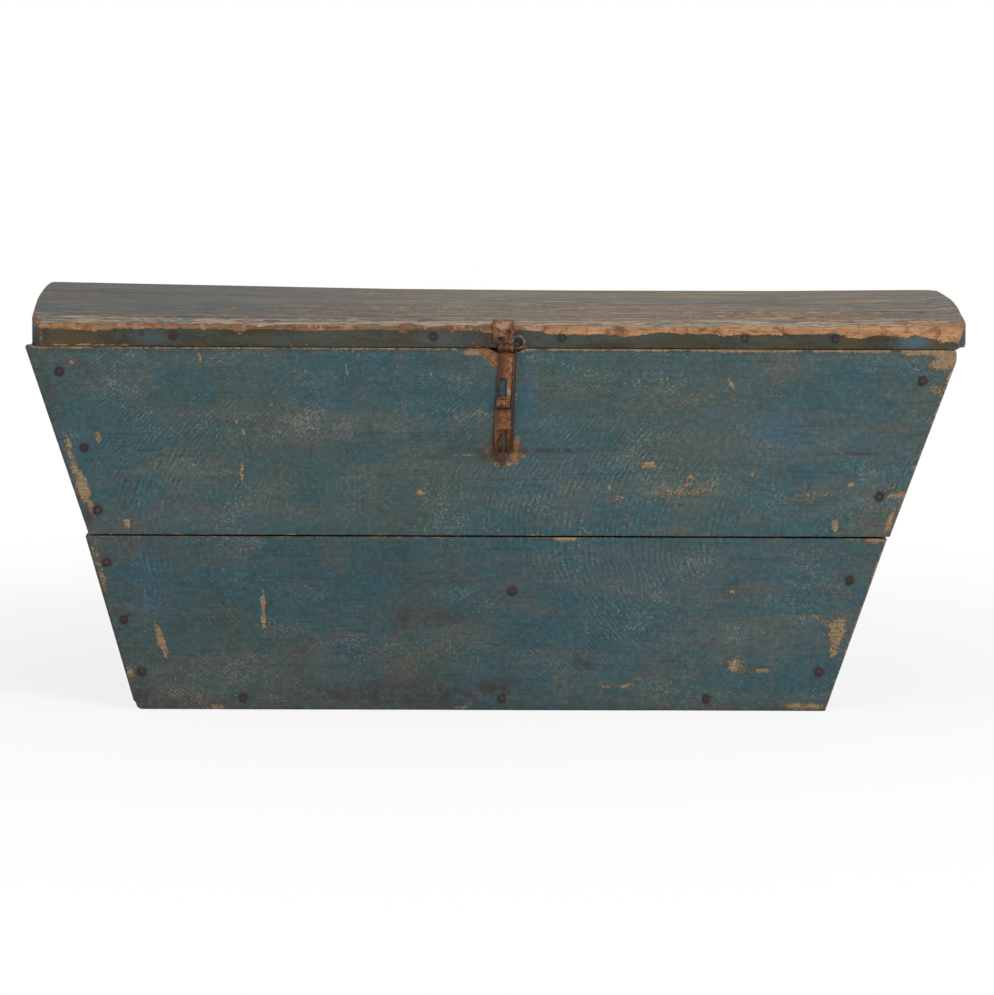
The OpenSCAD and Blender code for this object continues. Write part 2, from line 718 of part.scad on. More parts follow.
module lid_nail_holes() {
    at_lid_front(front_strip_nails) nail_hole(strip_nail_l);
    at_lid_back(back_strip_nails) nail_hole(strip_nail_l);
    at_lid_top() {
        nail_hole(lid_nail_l + lid_head_sink);
        translate([0, 0, -CUT]) cylinder(h = lid_head_sink + CUT, r = lid_head_r + nail_play);
    }
}

module lid_front_strip() {
    top = arch_points(0, strip_t, 6);
    outline = concat([[lid_front_y, lid_z]], top, [[lid_front_y + strip_t, lid_z]]);
    color(LID_PAINT) difference() {
        intersection() {
            lid_length(lid_left, lid_right, outline);
            lid_plan();
        }
        lid_nail_holes();
        worn_hollow(lid_z, hollow_depth_lid, -1);
        hasp_nail_holes();
    }
}

module lid_back_strip() {
    top = arch_points(lid_d - strip_t, lid_d, 6);
    outline = concat([[lid_back_y - strip_t, lid_z]], top, [[lid_back_y, lid_z]]);
    color(LID_PAINT) difference() {
        lid_length(lid_left, lid_right, outline);
        lid_nail_holes();
        for (x = hinge_xs)
            translate([x - notch_w / 2, hinge_y - notch_r, lid_z - CUT])
                cube([notch_w, lid_over_back + notch_r, notch_r - lid_gap + CUT]);
    }
}

// One lid board between the distances d0 and d1 from the lid's front edge
module lid_board(d0, d1) {
    top = arch_points(d0, d1, 10);
    below = [for (i = [len(top) - 1:-1:0]) top[i] - [0, lid_board_t]];
    color(LID_PAINT) difference() {
        lid_length(lid_left, lid_right, concat(top, below));
        lid_nail_holes();
    }
}

module lid_front_board() { lid_board(strip_t, seam_front - seam_gap / 2); }
module lid_middle_board() { lid_board(seam_front + seam_gap / 2, seam_back - seam_gap / 2); }
module lid_back_board() { lid_board(seam_back + seam_gap / 2, lid_d - strip_t); }

// A batten from strip to strip whose top follows the underside of the lid boards
module lid_batten(x0, x1) {
    top = [for (p = concat(arch_points(strip_t, seam_front - seam_gap / 2, 10),
                           arch_points(seam_front + seam_gap / 2, seam_back - seam_gap / 2, 10),
                           arch_points(seam_back + seam_gap / 2, lid_d - strip_t, 10)))
        p - [0, lid_board_t]];
    outline = concat([[lid_front_y + strip_t, lid_z]], top, [[lid_back_y - strip_t, lid_z]]);
    color(BARE_WOOD) difference() {
        lid_length(x0, x1, outline);
        lid_nail_holes();
        at_lid_strap(lid_strap_nails_at) nail_hole(lid_strap_nail_l);
    }
}

module lid_left_end_batten() { lid_batten(lid_left, lid_left + lid_end_batten_w); }
module lid_right_end_batten() { lid_batten(lid_right - lid_end_batten_w, lid_right); }
module lid_left_hinge_batten() {
    lid_batten(hinge_xs[0] - hinge_batten_w / 2, hinge_xs[0] + hinge_batten_w / 2);
}
module lid_right_hinge_batten() {
    lid_batten(hinge_xs[1] - hinge_batten_w / 2, hinge_xs[1] + hinge_batten_w / 2);
}

module lid_strip_nails() {
    color(NAIL_IRON) {
        at_lid_front(front_strip_nails) nail(strip_nail_l, strip_head_r);
        at_lid_back(back_strip_nails) nail(strip_nail_l, strip_head_r);
    }
}

// Sunken nails that hold the boards to the battens
module lid_board_nails() {
    color(NAIL_IRON) at_lid_top() translate([0, 0, lid_head_sink]) nail(lid_nail_l, lid_head_r);
}

// One knuckle along X around a pivot given as [y, z]
module hasp_knuckle(x0, x1, pivot, radius) {
    translate([x0, pivot[0], pivot[1]]) rotate([0, 90, 0]) cylinder(h = x1 - x0, r = radius);
}

module hasp_bore(pivot) {
    translate([hasp_top_x - hasp_reach, pivot[0], pivot[1]])
        rotate([0, 90, 0]) cylinder(h = 2 * hasp_reach, r = hasp_bore_r);
}

module at_hasp_nails(y) {
    for (p = hasp_nails_at)
        translate([hasp_top_x + p[0], y, lid_z + p[1]]) rotate([-90, 0, 0]) children();
}

module hasp_nail_holes() {
    at_hasp_nails(lid_front_y) nail_hole(hasp_nail_l);
}

// Plate on the lid's front edge that turns back over the top and ends below in two knuckles
module hasp_lid_plate() {
    over = arch_points(0, lid_plate_over, 8, plate_seat);
    outside = arch_points(0, lid_plate_over, 8, plate_seat + lid_plate_t);
    outline = concat([[lid_front_y - plate_seat, pivot_z]], over,
                     [for (i = [len(outside) - 1:-1:0]) outside[i]], [[lid_plate_y, pivot_z]]);
    gap_w = top_knuckle_w + 2 * knuckle_gap;
    gap_l = 2 * hasp_reach;
    color(RUSTY_IRON) difference() {
        union() {
            lid_length(hasp_top_x - lid_plate_w / 2, hasp_top_x + lid_plate_w / 2, outline);
            for (side = [-1, 1]) {
                x = hasp_top_x + side * (top_knuckle_w + knuckle_gap);
                hasp_knuckle(x - top_knuckle_w / 2, x + top_knuckle_w / 2, top_pivot, top_knuckle_r);
            }
        }
        translate([hasp_top_x - gap_w / 2, front_y - hasp_reach, pivot_z - hasp_reach])
            cube([gap_w, gap_l, hasp_reach + top_knuckle_r + knuckle_gap]);
        hasp_bore(top_pivot);
        at_hasp_nails(lid_plate_y) nail_hole(lid_plate_t + CUT);
    }
}

module hasp_plate_nails() {
    color(NAIL_IRON) at_hasp_nails(lid_plate_y) nail(hasp_nail_l + lid_plate_t, hasp_head_r);
}

// Wire pin through the upper knuckles, its right end curled up into an open ring
module hasp_upper_pin() {
    x0 = hasp_top_x - lid_plate_w / 2 - pin_over;
    curl_x = hasp_top_x + lid_plate_w / 2 + curl_off;
    color(WORN_STEEL) {
        translate([x0, top_pivot[0], top_pivot[1]])
            rotate([0, 90, 0]) cylinder(h = curl_x - x0, r = hasp_pin_r);
        translate([curl_x, top_pivot[0], top_pivot[1] + curl_r])
            rotate([90, 0, 0]) rotate([0, 0, -90])
                rotate_extrude(angle = curl_turn) translate([curl_r, 0]) circle(r = hasp_pin_r);
    }
}

// Upper link: one knuckle above, a window, and two knuckles below
module hasp_upper_link() {
    shoulder_z = top_pivot[1] - top_knuckle_r - 2 * knuckle_gap;
    foot_z = low_pivot[1];
    window_low_z = low_pivot[1] + low_knuckle_r + low_rim;
    half = link_w / 2;
    color(RUSTY_IRON) difference() {
        union() {
            translate([0, hasp_back_y, 0])
                rotate([90, 0, 0])
                    linear_extrude(hasp_t) {
                        difference() {
                            polygon([
                                [hasp_top_x - half, shoulder_z], [hasp_top_x + half, shoulder_z],
                                [hasp_low_x + half, foot_z], [hasp_low_x - half, foot_z]
                            ]);
                            translate([hasp_low_x - window_w / 2, window_low_z]) square([window_w, window_h]);
                            translate([hasp_low_x - low_knuckle_w / 2 - knuckle_gap, foot_z - CUT])
                                square([low_knuckle_w + 2 * knuckle_gap, low_knuckle_r + knuckle_gap + CUT]);
                        }
                        translate([hasp_top_x - top_knuckle_w / 2, shoulder_z - CUT])
                            square([top_knuckle_w, top_pivot[1] - shoulder_z + CUT]);
                    }
            hasp_knuckle(hasp_top_x - top_knuckle_w / 2, hasp_top_x + top_knuckle_w / 2,
                         top_pivot, top_knuckle_r);
            for (side = [-1, 1]) {
                x = hasp_low_x + side * (low_knuckle_w + knuckle_gap);
                hasp_knuckle(x - low_knuckle_w / 2, x + low_knuckle_w / 2, low_pivot, low_knuckle_r);
            }
        }
        hasp_bore(top_pivot);
        hasp_bore(low_pivot);
    }
}

module hasp_lower_pin() {
    color(WORN_STEEL) riveted_pin(hasp_low_x, low_pivot[0], low_pivot[1], link_w, hasp_pin_r);
}

// Wire hook on the upper pin: an eye, a long shank in front of the plates, and an upturned end
module hasp_hook() {
    color(WORN_STEEL)
        translate([hook_x, top_pivot[0], top_pivot[1]]) {
            rotate([0, 90, 0]) rotate_extrude() translate([hook_eye_r, 0]) circle(r = hook_eye_wire_r);
            translate([0, -hook_eye_r, 0]) rotate([0, hook_lean, 0]) {
                translate([0, 0, -hook_l]) cylinder(h = hook_l, r = hook_wire_r);
                translate([-hook_bend_r, 0, -hook_l])
                    rotate([90, 0, 0]) rotate([0, 0, 180])
                        rotate_extrude(angle = 180) translate([hook_bend_r, 0]) circle(r = hook_wire_r);
                translate([-2 * hook_bend_r, 0, -hook_l])
                    cylinder(h = hook_point_l, r1 = hook_wire_r, r2 = hook_wire_r * 0.5);
            }
        }
}

// Slotted plate: one knuckle above, the slot for the staple, and a narrow drawn-out tail
module hasp_slotted_plate() {
    half = slotted_w / 2;
    shoulder_z = low_pivot[1] - low_knuckle_r - 2 * knuckle_gap;
    tail_z = slot_low_z - low_rim;
    // The plate starts to narrow a little above the slot's lower end
    narrow_z = slot_low_z + 4;
    color(RUSTY_IRON) difference() {
        union() {
            translate([0, hasp_back_y, 0])
                rotate([90, 0, 0])
                    linear_extrude(hasp_t) {
                        difference() {
                            polygon([
                                [hasp_low_x - half, shoulder_z], [hasp_low_x + half, shoulder_z],
                                [hasp_low_x + half, narrow_z], [hasp_low_x + tail_half + tail_flare, tail_z],
                                [hasp_low_x + tail_half, slotted_low_z],
                                [hasp_low_x - tail_half, slotted_low_z],
                                [hasp_low_x - tail_half - tail_flare, tail_z], [hasp_low_x - half, narrow_z]
                            ]);
                            translate([hasp_low_x - slot_w / 2, slot_low_z])
                                square([slot_w, slot_top_z - slot_low_z]);
                        }
                        translate([hasp_low_x - low_knuckle_w / 2, shoulder_z - CUT])
                            square([low_knuckle_w, low_pivot[1] - shoulder_z + CUT]);
                    }
            hasp_knuckle(hasp_low_x - low_knuckle_w / 2, hasp_low_x + low_knuckle_w / 2,
                         low_pivot, low_knuckle_r);
        }
        hasp_bore(low_pivot);
    }
}

front_board_lower();
front_board_upper();
back_board_lower();
back_board_upper();
left_end_board_lower();
left_end_board_upper();
right_end_board_lower();
right_end_board_upper();
bottom_board_front();
bottom_board_middle();
bottom_board_back();
front_batten();
back_batten();
front_nails();
back_nails();
left_end_nails();
right_end_nails();
batten_nails();
lock_staple();
left_hinge_body_strap();
right_hinge_body_strap();
left_hinge_pin();
right_hinge_pin();
body_strap_nails();
lid_front_strip();
lid_back_strip();
lid_front_board();
lid_middle_board();
lid_back_board();
lid_left_end_batten();
lid_right_end_batten();
lid_left_hinge_batten();
lid_right_hinge_batten();
lid_strip_nails();
lid_board_nails();
left_hinge_lid_strap();
right_hinge_lid_strap();
lid_strap_nails();
hasp_lid_plate();
hasp_plate_nails();
hasp_upper_pin();
hasp_upper_link();
hasp_lower_pin();
hasp_slotted_plate();
hasp_hook();
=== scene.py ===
"""Plank storage trunk: old blue-grey paint over softwood, forged nails and a rusty hasp."""
import json
import math
from functools import reduce

import bmesh
import bpy
import numpy as np
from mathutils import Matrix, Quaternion, Vector, noise


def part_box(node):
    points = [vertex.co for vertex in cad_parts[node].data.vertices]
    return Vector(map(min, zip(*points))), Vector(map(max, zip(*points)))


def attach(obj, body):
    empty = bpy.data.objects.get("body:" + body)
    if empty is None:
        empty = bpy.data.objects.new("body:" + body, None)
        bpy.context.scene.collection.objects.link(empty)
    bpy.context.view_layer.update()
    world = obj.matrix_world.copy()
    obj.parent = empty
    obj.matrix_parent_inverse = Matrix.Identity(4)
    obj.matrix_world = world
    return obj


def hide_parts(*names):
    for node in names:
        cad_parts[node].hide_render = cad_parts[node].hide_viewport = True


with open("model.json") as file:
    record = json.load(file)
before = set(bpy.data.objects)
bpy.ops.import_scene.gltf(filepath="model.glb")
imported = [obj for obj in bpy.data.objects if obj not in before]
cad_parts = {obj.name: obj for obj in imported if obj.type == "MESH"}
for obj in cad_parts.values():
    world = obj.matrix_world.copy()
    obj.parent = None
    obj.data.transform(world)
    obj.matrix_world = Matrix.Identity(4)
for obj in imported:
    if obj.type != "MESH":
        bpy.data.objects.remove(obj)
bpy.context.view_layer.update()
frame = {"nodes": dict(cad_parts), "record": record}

BODY_OF = {node: body for body, nodes in frame["record"]["behaviour"]["bodies"].items() for node in nodes}
MM = 0.001

# Sizes of the boards, in metres, taken from the frame
FRONT_LOW, FRONT_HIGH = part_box("front_board_lower"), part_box("front_board_upper")
BACK_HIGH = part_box("back_board_upper")
STRIP, LID_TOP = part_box("lid_front_strip"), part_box("lid_middle_board")
RIM_Z = FRONT_HIGH[1].z
JOINT_LOW, JOINT_HIGH = FRONT_LOW[1].z, FRONT_HIGH[0].z
FRONT_Y, BACK_Y = FRONT_HIGH[0].y, BACK_HIGH[1].y
WALL_T = FRONT_HIGH[1].y - FRONT_Y
LEFT, RIGHT = 0, 1
OUT = (-1, 1)
# Where the front's foot ends on the left and on the right
FOOT = (-349.7 * MM, 353.3 * MM)
# How far the upper boards start outwards of the lower ones at each end
KNEE_STEP = (-4 * MM, 2 * MM)
SLOPE_LOW = tuple(OUT[s] * (FRONT_LOW[s].x - FOOT[s]) / JOINT_LOW for s in (LEFT, RIGHT))
KNEE = tuple(FOOT[s] + OUT[s] * (JOINT_HIGH * SLOPE_LOW[s] + KNEE_STEP[s]) for s in (LEFT, RIGHT))
SLOPE_HIGH = tuple(OUT[s] * (FRONT_HIGH[s].x - KNEE[s]) / (RIM_Z - JOINT_HIGH) for s in (LEFT, RIGHT))

# How far the end boards stand in from the front's ends, and their thickness
END_COVER = 3 * MM
END_T = 25 * MM
LID_Z = STRIP[0].z
LID_LEFT, LID_RIGHT = LID_TOP[0].x, LID_TOP[1].x
LID_FRONT, LID_BACK = STRIP[0].y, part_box("lid_back_strip")[1].y
HALF_LID = (LID_BACK - LID_FRONT) / 2
# Height of the lid's upright front edge, below its arch
EDGE_H = 20 * MM
ARCH_RISE = LID_TOP[1].z - LID_Z - EDGE_H
LID_BOARD_T = 24 * MM
# Middle of the hasp
HASP_X = 25 * MM
# How far the front board and the lid's strip each reach into the gap under the lid
NARROWED = 0.5 * MM
# The lid's top has sagged: places along it and how far, in millimetres
SAG_X, SAG = (-450, -284, -82, 120, 322, 470), (1.0, 4.6, 9.2, 10.3, 9.4, 6.8)
# Its boards have cupped at the right end: where along it, depths from its front and how far up
CUPPED_X = (466, 490)
CUPPED_D, CUPPED = (50, 95, 150, 190, 275, 325), (0, 2.9, 3.2, 2.2, 1.6, 0)
# Its cut corners, in millimetres: along the front, into the depth, and up at the lower right corner
CORNER_CUT = (9, 14, 3)
# Places along the lid and how far its worn arris reaches there over the top and down the face
ABOVE_ARRIS = (-453, -330, -300, -200, 0, 350, 430, 480), (2.6, 2.2, 1.8, 2.0, 2.8, 3.4, 5, 9)
BELOW_ARRIS = ((-453, -330, -300, -200, -100, 0, 100, 380, 425, 455, 480),
               (2.4, 2.4, 1.8, 3.2, 2.2, 3.6, 5.2, 5.6, 6, 9, 12))
# Spacing along X, Y and Z of the grids that carry dents and wear
FINE, COARSE = (2.8 * MM, 4 * MM, 2.8 * MM), (6 * MM, 6 * MM, 5 * MM)
# Arrises stay sharp where the faces turn by more than this
SHARP_FROM, WIRE_SHARP_FROM = math.radians(28), math.radians(50)


def end_slope(side, z):
    """How far an end leans outwards for each metre of height"""
    return SLOPE_LOW[side] if z < JOINT_HIGH - 0.5 * MM else SLOPE_HIGH[side]


def within(value):
    """The value, but no less than 0 and no more than 1"""
    return max(0.0, min(1.0, value))


def end_x(side, z):
    """End of the front and back boards at a height"""
    if z < JOINT_HIGH - 0.5 * MM:
        return FOOT[side] + OUT[side] * z * SLOPE_LOW[side]
    return KNEE[side] + OUT[side] * (z - JOINT_HIGH) * SLOPE_HIGH[side]


def arch(y):
    """Height of the lid's arch above a place from its front to its back"""
    share = (y - LID_FRONT - HALF_LID) / HALF_LID
    return LID_Z + EDGE_H + ARCH_RISE * math.sqrt(max(0.0, 1 - share * share))


def sag(x, y):
    """How far the lid's top has sunk below its arch; its boards have cupped at the right end"""
    share = (arch(y) - LID_Z - EDGE_H) / ARCH_RISE
    cupped = np.interp((y - LID_FRONT) / MM, CUPPED_D, CUPPED) * np.interp(x / MM, CUPPED_X, (0, 1))
    return float(np.interp(x / MM, SAG_X, SAG) * share - cupped) * MM


def run_out(x, y):
    """How far the lid boards' left ends run out of square between the lid's front and its back"""
    square, slanting, reach = 40 * MM, 80 * MM, 12 * MM
    share = within((min(y - LID_FRONT, LID_BACK - y) - square) / slanting)
    return -(1.0 + 0.7 * share) * MM if x < LID_LEFT + reach else 0.0


# Worn, stained and tinted places, in millimetres. A row gives its middle, half length, half width and
# strength, then its turn in degrees if it has one. The middle is x and z on the walls and the hasp, x and
# the height above the lid's foot on the lid's edge, x and the distance from the front on the lid's top

# Bare places on the front
FRONT_CHIPS = [
    (-413, 355, 4, 2.5, 0.6), (-285, 360, 1.6, 7, 0.6, 8), (-387, 279, 3, 7, 0.72, 10),
    (-417, 270, 4, 12, 0.55, 15), (-411, 248, 4, 20, 0.62, 16), (-403, 228, 6, 16, 0.85, 14),
    (-394, 206, 4, 10, 0.6, 14), (-358, 191, 3.5, 5.5, 0.8, 10), (-242, 242, 2.2, 11, 0.66),
    (-242, 212, 1.4, 14, 0.44), (-248, 295, 4, 2, 0.6), (-240, 284, 2, 3.5, 0.6),
    (-136, 350, 1.8, 7, 0.7), (-85, 352, 2, 2, 0.6), (-76, 351, 2.4, 2, 0.6), (-51, 344, 2, 3, 0.6),
    (-213, 312, 3, 1.6, 0.6), (-17, 262, 12, 1.6, 0.5), (-61, 223, 5, 2.6, 0.85, -10),
    (2, 367, 22, 4, 0.85), (131, 229, 2.2, 3, 0.62), (142, 219, 5, 3, 0.5), (171, 253, 7, 3.4, 0.95, 8),
    (207, 226, 29, 7, 0.40, 4), (213, 238, 5, 7, 0.46), (253, 335, 2, 8, 0.55, 30),
    (276, 243, 3, 3, 0.62), (375, 233, 4, 2.5, 0.72), (336, 221, 28, 8, 0.36, 6),
    (361, 192, 3.5, 6, 0.85), (421, 223, 11, 3, 0.66, 10), (470, 358, 15, 7, 0.8, 12),
    (478, 344, 5, 16, 0.85, -20), (462, 330, 8, 7, 0.5), (470, 318, 3, 22, 0.7, -19),
    (452, 270, 2.6, 30, 0.55, -19), (432, 220, 4, 26, 0.6, -19), (416, 196, 3, 14, 0.7, -19),
    (86, 177, 13, 2.4, 0.8), (402, 176, 12, 2.4, 0.7), (-387, 146, 4, 30, 0.45, 16),
    (-324, 72, 3.5, 18, 0.85, 18), (-220, 102, 2.2, 22, 0.8, 2), (-355, 37, 3.5, 7, 0.62, 10),
    (129, 25, 4, 2, 0.6), (149, 26, 13, 1.8, 0.55, 6), (161, 33, 5, 2, 0.55), (257, 123, 4, 3, 0.66, 20),
    (262, 46, 10, 10, 0.44), (258, 47, 5, 3, 0.66), (289, 42, 10, 2.4, 0.6), (365, 84, 9, 16, 0.66, -20),
    (362, 66, 6, 12, 0.55, -19), (352, 92, 20, 4, 0.5, -30), (404, 136, 3, 26, 0.5, -19),
    (388, 100, 3, 22, 0.55, -19), (331, 5, 22, 4, 0.66), (-266, 3, 7, 3, 0.9), (-18, 3, 9, 2.2, 0.6),
    (35, 268, 5, 13, 0.85), (40, 262, 8, 5, 0.42), (11, 262, 9, 8, 0.42), (24, 254, 16, 3, 0.6),
    (34, 336, 2.4, 28, 0.62), (22, 276, 7, 14, 0.9),
]
# Places where the front's paint is worn to pale flecks
FRONT_SPECKS = [
    (-339, 342, 50, 26, 0.8), (-374, 346, 22, 3, 1.0, -40), (-418, 283, 9, 6, 1.0, 20),
    (-300, 251, 50, 12, 0.9), (-178, 291, 64, 18, 0.8), (-110, 333, 16, 14, 0.9, 20),
    (-195, 283, 13, 4, 1.0, 8), (-11, 303, 18, 16, 1.0, 15), (2, 282, 8, 20, 1.0), (146, 339, 9, 6, 0.9),
    (181, 334, 40, 15, 0.6), (207, 226, 50, 12, 1.0, 4), (280, 248, 12, 7, 1.0, 20),
    (336, 221, 34, 9, 1.0, 6), (440, 320, 34, 28, 0.7), (270, 74, 40, 12, 0.8, -12),
    (-290, 12, 40, 6, 0.7), (-16, 292, 35, 25, 0.5),
]
# Greyer and browner places of the front's paint
FRONT_WARM = [
    (-298, 250, 46, 14, 1.0), (-178, 291, 68, 20, 0.9), (-11, 301, 18, 18, 0.9), (-339, 342, 45, 20, 0.7),
    (197, 321, 45, 9, 0.7), (303, 346, 35, 9, 0.6), (200, 228, 50, 12, 0.7), (-96, 68, 100, 36, 0.5),
    (-297, 50, 45, 22, 0.6), (252, 95, 55, 46, 0.5), (360, 230, 40, 12, 0.6), (395, 200, 30, 20, 0.4),
]
# Stretches of the upper board's worn top arris: from x to x, half width, strength
TOP_ARRIS = [
    (-460, -384, 1.0, 0.75), (-384, -200, 0.8, 0.65), (-200, -20, 0.8, 0.65), (-20, 60, 2.0, 0.9),
    (60, 210, 1.4, 0.85), (205, 330, 1.8, 0.9), (330, 420, 1.8, 0.9), (420, 486, 3.0, 0.95),
]
# Wood stained by the hasp's rust, and brown places at the foot
FRONT_RUST = [
    (24, 352, 10, 10, 0.6), (24, 268, 24, 14, 0.8), (37, 345, 2.5, 18, 0.5), (20, 276, 10, 18, 1.0),
    (-300, 10, 48, 9, 0.5), (-142, 10, 60, 9, 0.4),
]
# Dark stains on the front
FRONT_STAINS = [
    (-80, 16, 118, 12, 0.7), (13, 20, 24, 10, 0.8), (-346, 19, 14, 16, 0.7), (-80, 95, 12, 10, 0.6),
    (-40, 95, 26, 9, 0.5), (104, 50, 8, 10, 0.75, 35), (142, 96, 16, 8, 0.35), (53, 267, 64, 2.2, 0.9),
    (371, 265, 46, 1.8, 0.7), (-34, 133, 22, 1.3, 0.7), (-455, 300, 6, 60, 0.5, 16),
    (-440, 330, 8, 50, 0.4, 16), (-280, 8, 80, 7, 0.5), (200, 5, 120, 5, 0.45), (14, 268, 10, 12, 0.8),
    (4, 262, 10, 9, 0.55), (150, 12, 60, 8, 0.3), (27, 296, 5, 22, 0.5), (-362, 98, 12, 6, 0.6),
    (-395, 200, 8, 10, 0.6), (18, 280, 7, 12, 0.45),
]
# Bluer places of the front's paint
FRONT_BLUE = [
    (-337, 176, 9, 14, 1.0), (-338, 150, 9, 24, 0.9, 4), (-332, 115, 9, 24, 0.7, 16),
    (-316, 78, 9, 26, 0.6, 24), (-334, 342, 30, 20, 0.35), (45, 300, 10, 50, 0.9), (24, 327, 6, 8, 1.0),
    (5, 322, 5, 24, 0.8), (71, 262, 40, 34, 0.3, 30), (305, 291, 30, 26, 0.8), (300, 262, 20, 12, 0.5),
    (-12, 338, 8, 24, 0.5), (430, 240, 20, 30, 0.5), (150, 96, 20, 8, 0.4), (-20, 330, 6, 20, 0.4),
    (250, 300, 30, 12, 0.4), (-180, 330, 60, 12, 0.3), (-200, 190, 120, 10, 0.25),
    (-60, 160, 80, 20, 0.2), (200, 150, 90, 24, 0.25),
]
# Worn places on the lid's top
LID_CHIPS = [
    (-426, 145, 30, 8, 0.9), (-392, 147, 22, 4, 0.7), (452, 12, 36, 10, 0.75), (405, 26, 70, 5, 0.55, 3),
    (200, 50, 190, 12, 0.36, 1), (330, 70, 130, 14, 0.36, -1), (-40, 90, 120, 16, 0.3),
    (60, 130, 160, 10, 0.34), (-180, 60, 110, 8, 0.26), (-366, 21, 26, 2, 0.75),
    (-270, 20, 120, 1.6, 0.35), (330, 36, 120, 5, 0.42), (60, 24, 130, 4, 0.42), (-60, 20, 80, 2.4, 0.42),
    (250, 100, 200, 5, 0.4), (120, 76, 260, 4, 0.4, 0.4),
]
# Rubbed and dark places of the hasp; the thin dark rows at its knuckles are painted shade in the creases
HASP_RUBBED = [
    (24, 386, 12, 10, 0.45), (20, 394, 12, 5, 0.7), (28, 348, 3, 20, 0.45, 2), (22, 318, 6, 4, 0.6),
    (28, 325, 3, 8, 0.5), (25, 292, 3, 14, 0.4), (16, 323, 3, 5, 0.4),
]
HASP_DARK = [
    (19, 350, 3, 22, 0.8, 3), (20, 378, 6, 6, 0.6), (16, 300, 3, 12, 0.6), (22, 309, 9, 1.6, 0.9),
    (22, 270, 9, 7, 0.85), (22, 258, 5, 8, 0.8), (17, 330, 3.5, 12, 1.0), (21, 368.5, 12, 2.8, 1.0),
]
# Olive, brown and blue places of the lid's edge, below its worn arris
EDGE_OLIVE = [
    (-414, 8, 26, 11, 1.0), (-396, 5, 14, 8, 0.9), (372, 9, 12, 10, 1.0), (462, 6, 10, 10, 0.9),
    (-120, 8, 60, 9, 0.35), (-222, 8, 12, 9, 0.6), (180, 8, 50, 9, 0.3), (300, 8, 30, 9, 0.4),
]
EDGE_BROWN = [
    (-370, 10, 16, 10, 0.7), (404, 9, 16, 9, 0.75), (25, 10, 18, 14, 0.4), (-240, 14, 60, 3, 0.5),
    (-120, 5, 30, 4, 0.4), (150, 4, 50, 3, 0.35), (5, 9, 2.4, 2.2, 1.0), (57, 9, 3, 2.2, 1.0),
    (109, 9, 2.2, 2.2, 1.0), (-343, 12, 2.4, 2, 1.0), (-104, 12, 2.4, 2, 1.0), (-362, 9, 8, 6, 0.8),
    (-439, 10, 3, 12, 0.8), (330, 12, 30, 4, 0.45), (250, 4, 40, 3, 0.4),
]
EDGE_BLUE = [(436, 10, 17, 9, 0.9), (-330, 9, 22, 7, 0.5), (-30, 9, 30, 7, 0.35)]
# Bluer places of the lid's top, and dark shakes in it
LID_BLUE = [
    (250, 150, 60, 10, 0.8), (390, 112, 50, 8, 0.9), (425, 62, 36, 6, 0.8), (170, 40, 60, 5, 0.5),
]
LID_SHAKES = [
    (418, 76, 38, 2.6, 0.9, 3), (452, 68, 6, 5, 0.9), (470, 62, 18, 4, 0.5), (461, 4, 4, 4, 0.9),
]
# Worn places of the back, and of the ends, where the middle is y and z; each gets broken up
BACK_CHIPS = [
    (-300, 300, 30, 8, 0.5, 10), (120, 210, 40, 6, 0.5), (-120, 90, 18, 5, 0.7, 20),
    (260, 60, 30, 9, 0.55, -10), (-220, 30, 40, 6, 0.6), (380, 320, 16, 20, 0.8, -20),
    (40, 340, 60, 3, 0.7), (-400, 230, 6, 30, 0.7, 16), (330, 150, 12, 4, 0.8),
]
END_CHIPS = [
    (-60, 300, 26, 7, 0.42, 10), (90, 250, 14, 5, 0.6), (-120, 120, 30, 6, 0.45, -8),
    (40, 60, 22, 8, 0.45), (140, 330, 20, 10, 0.55, 20), (-20, 200, 50, 3, 0.4), (-150, 20, 30, 6, 0.55),
    (110, 140, 10, 14, 0.45),
]


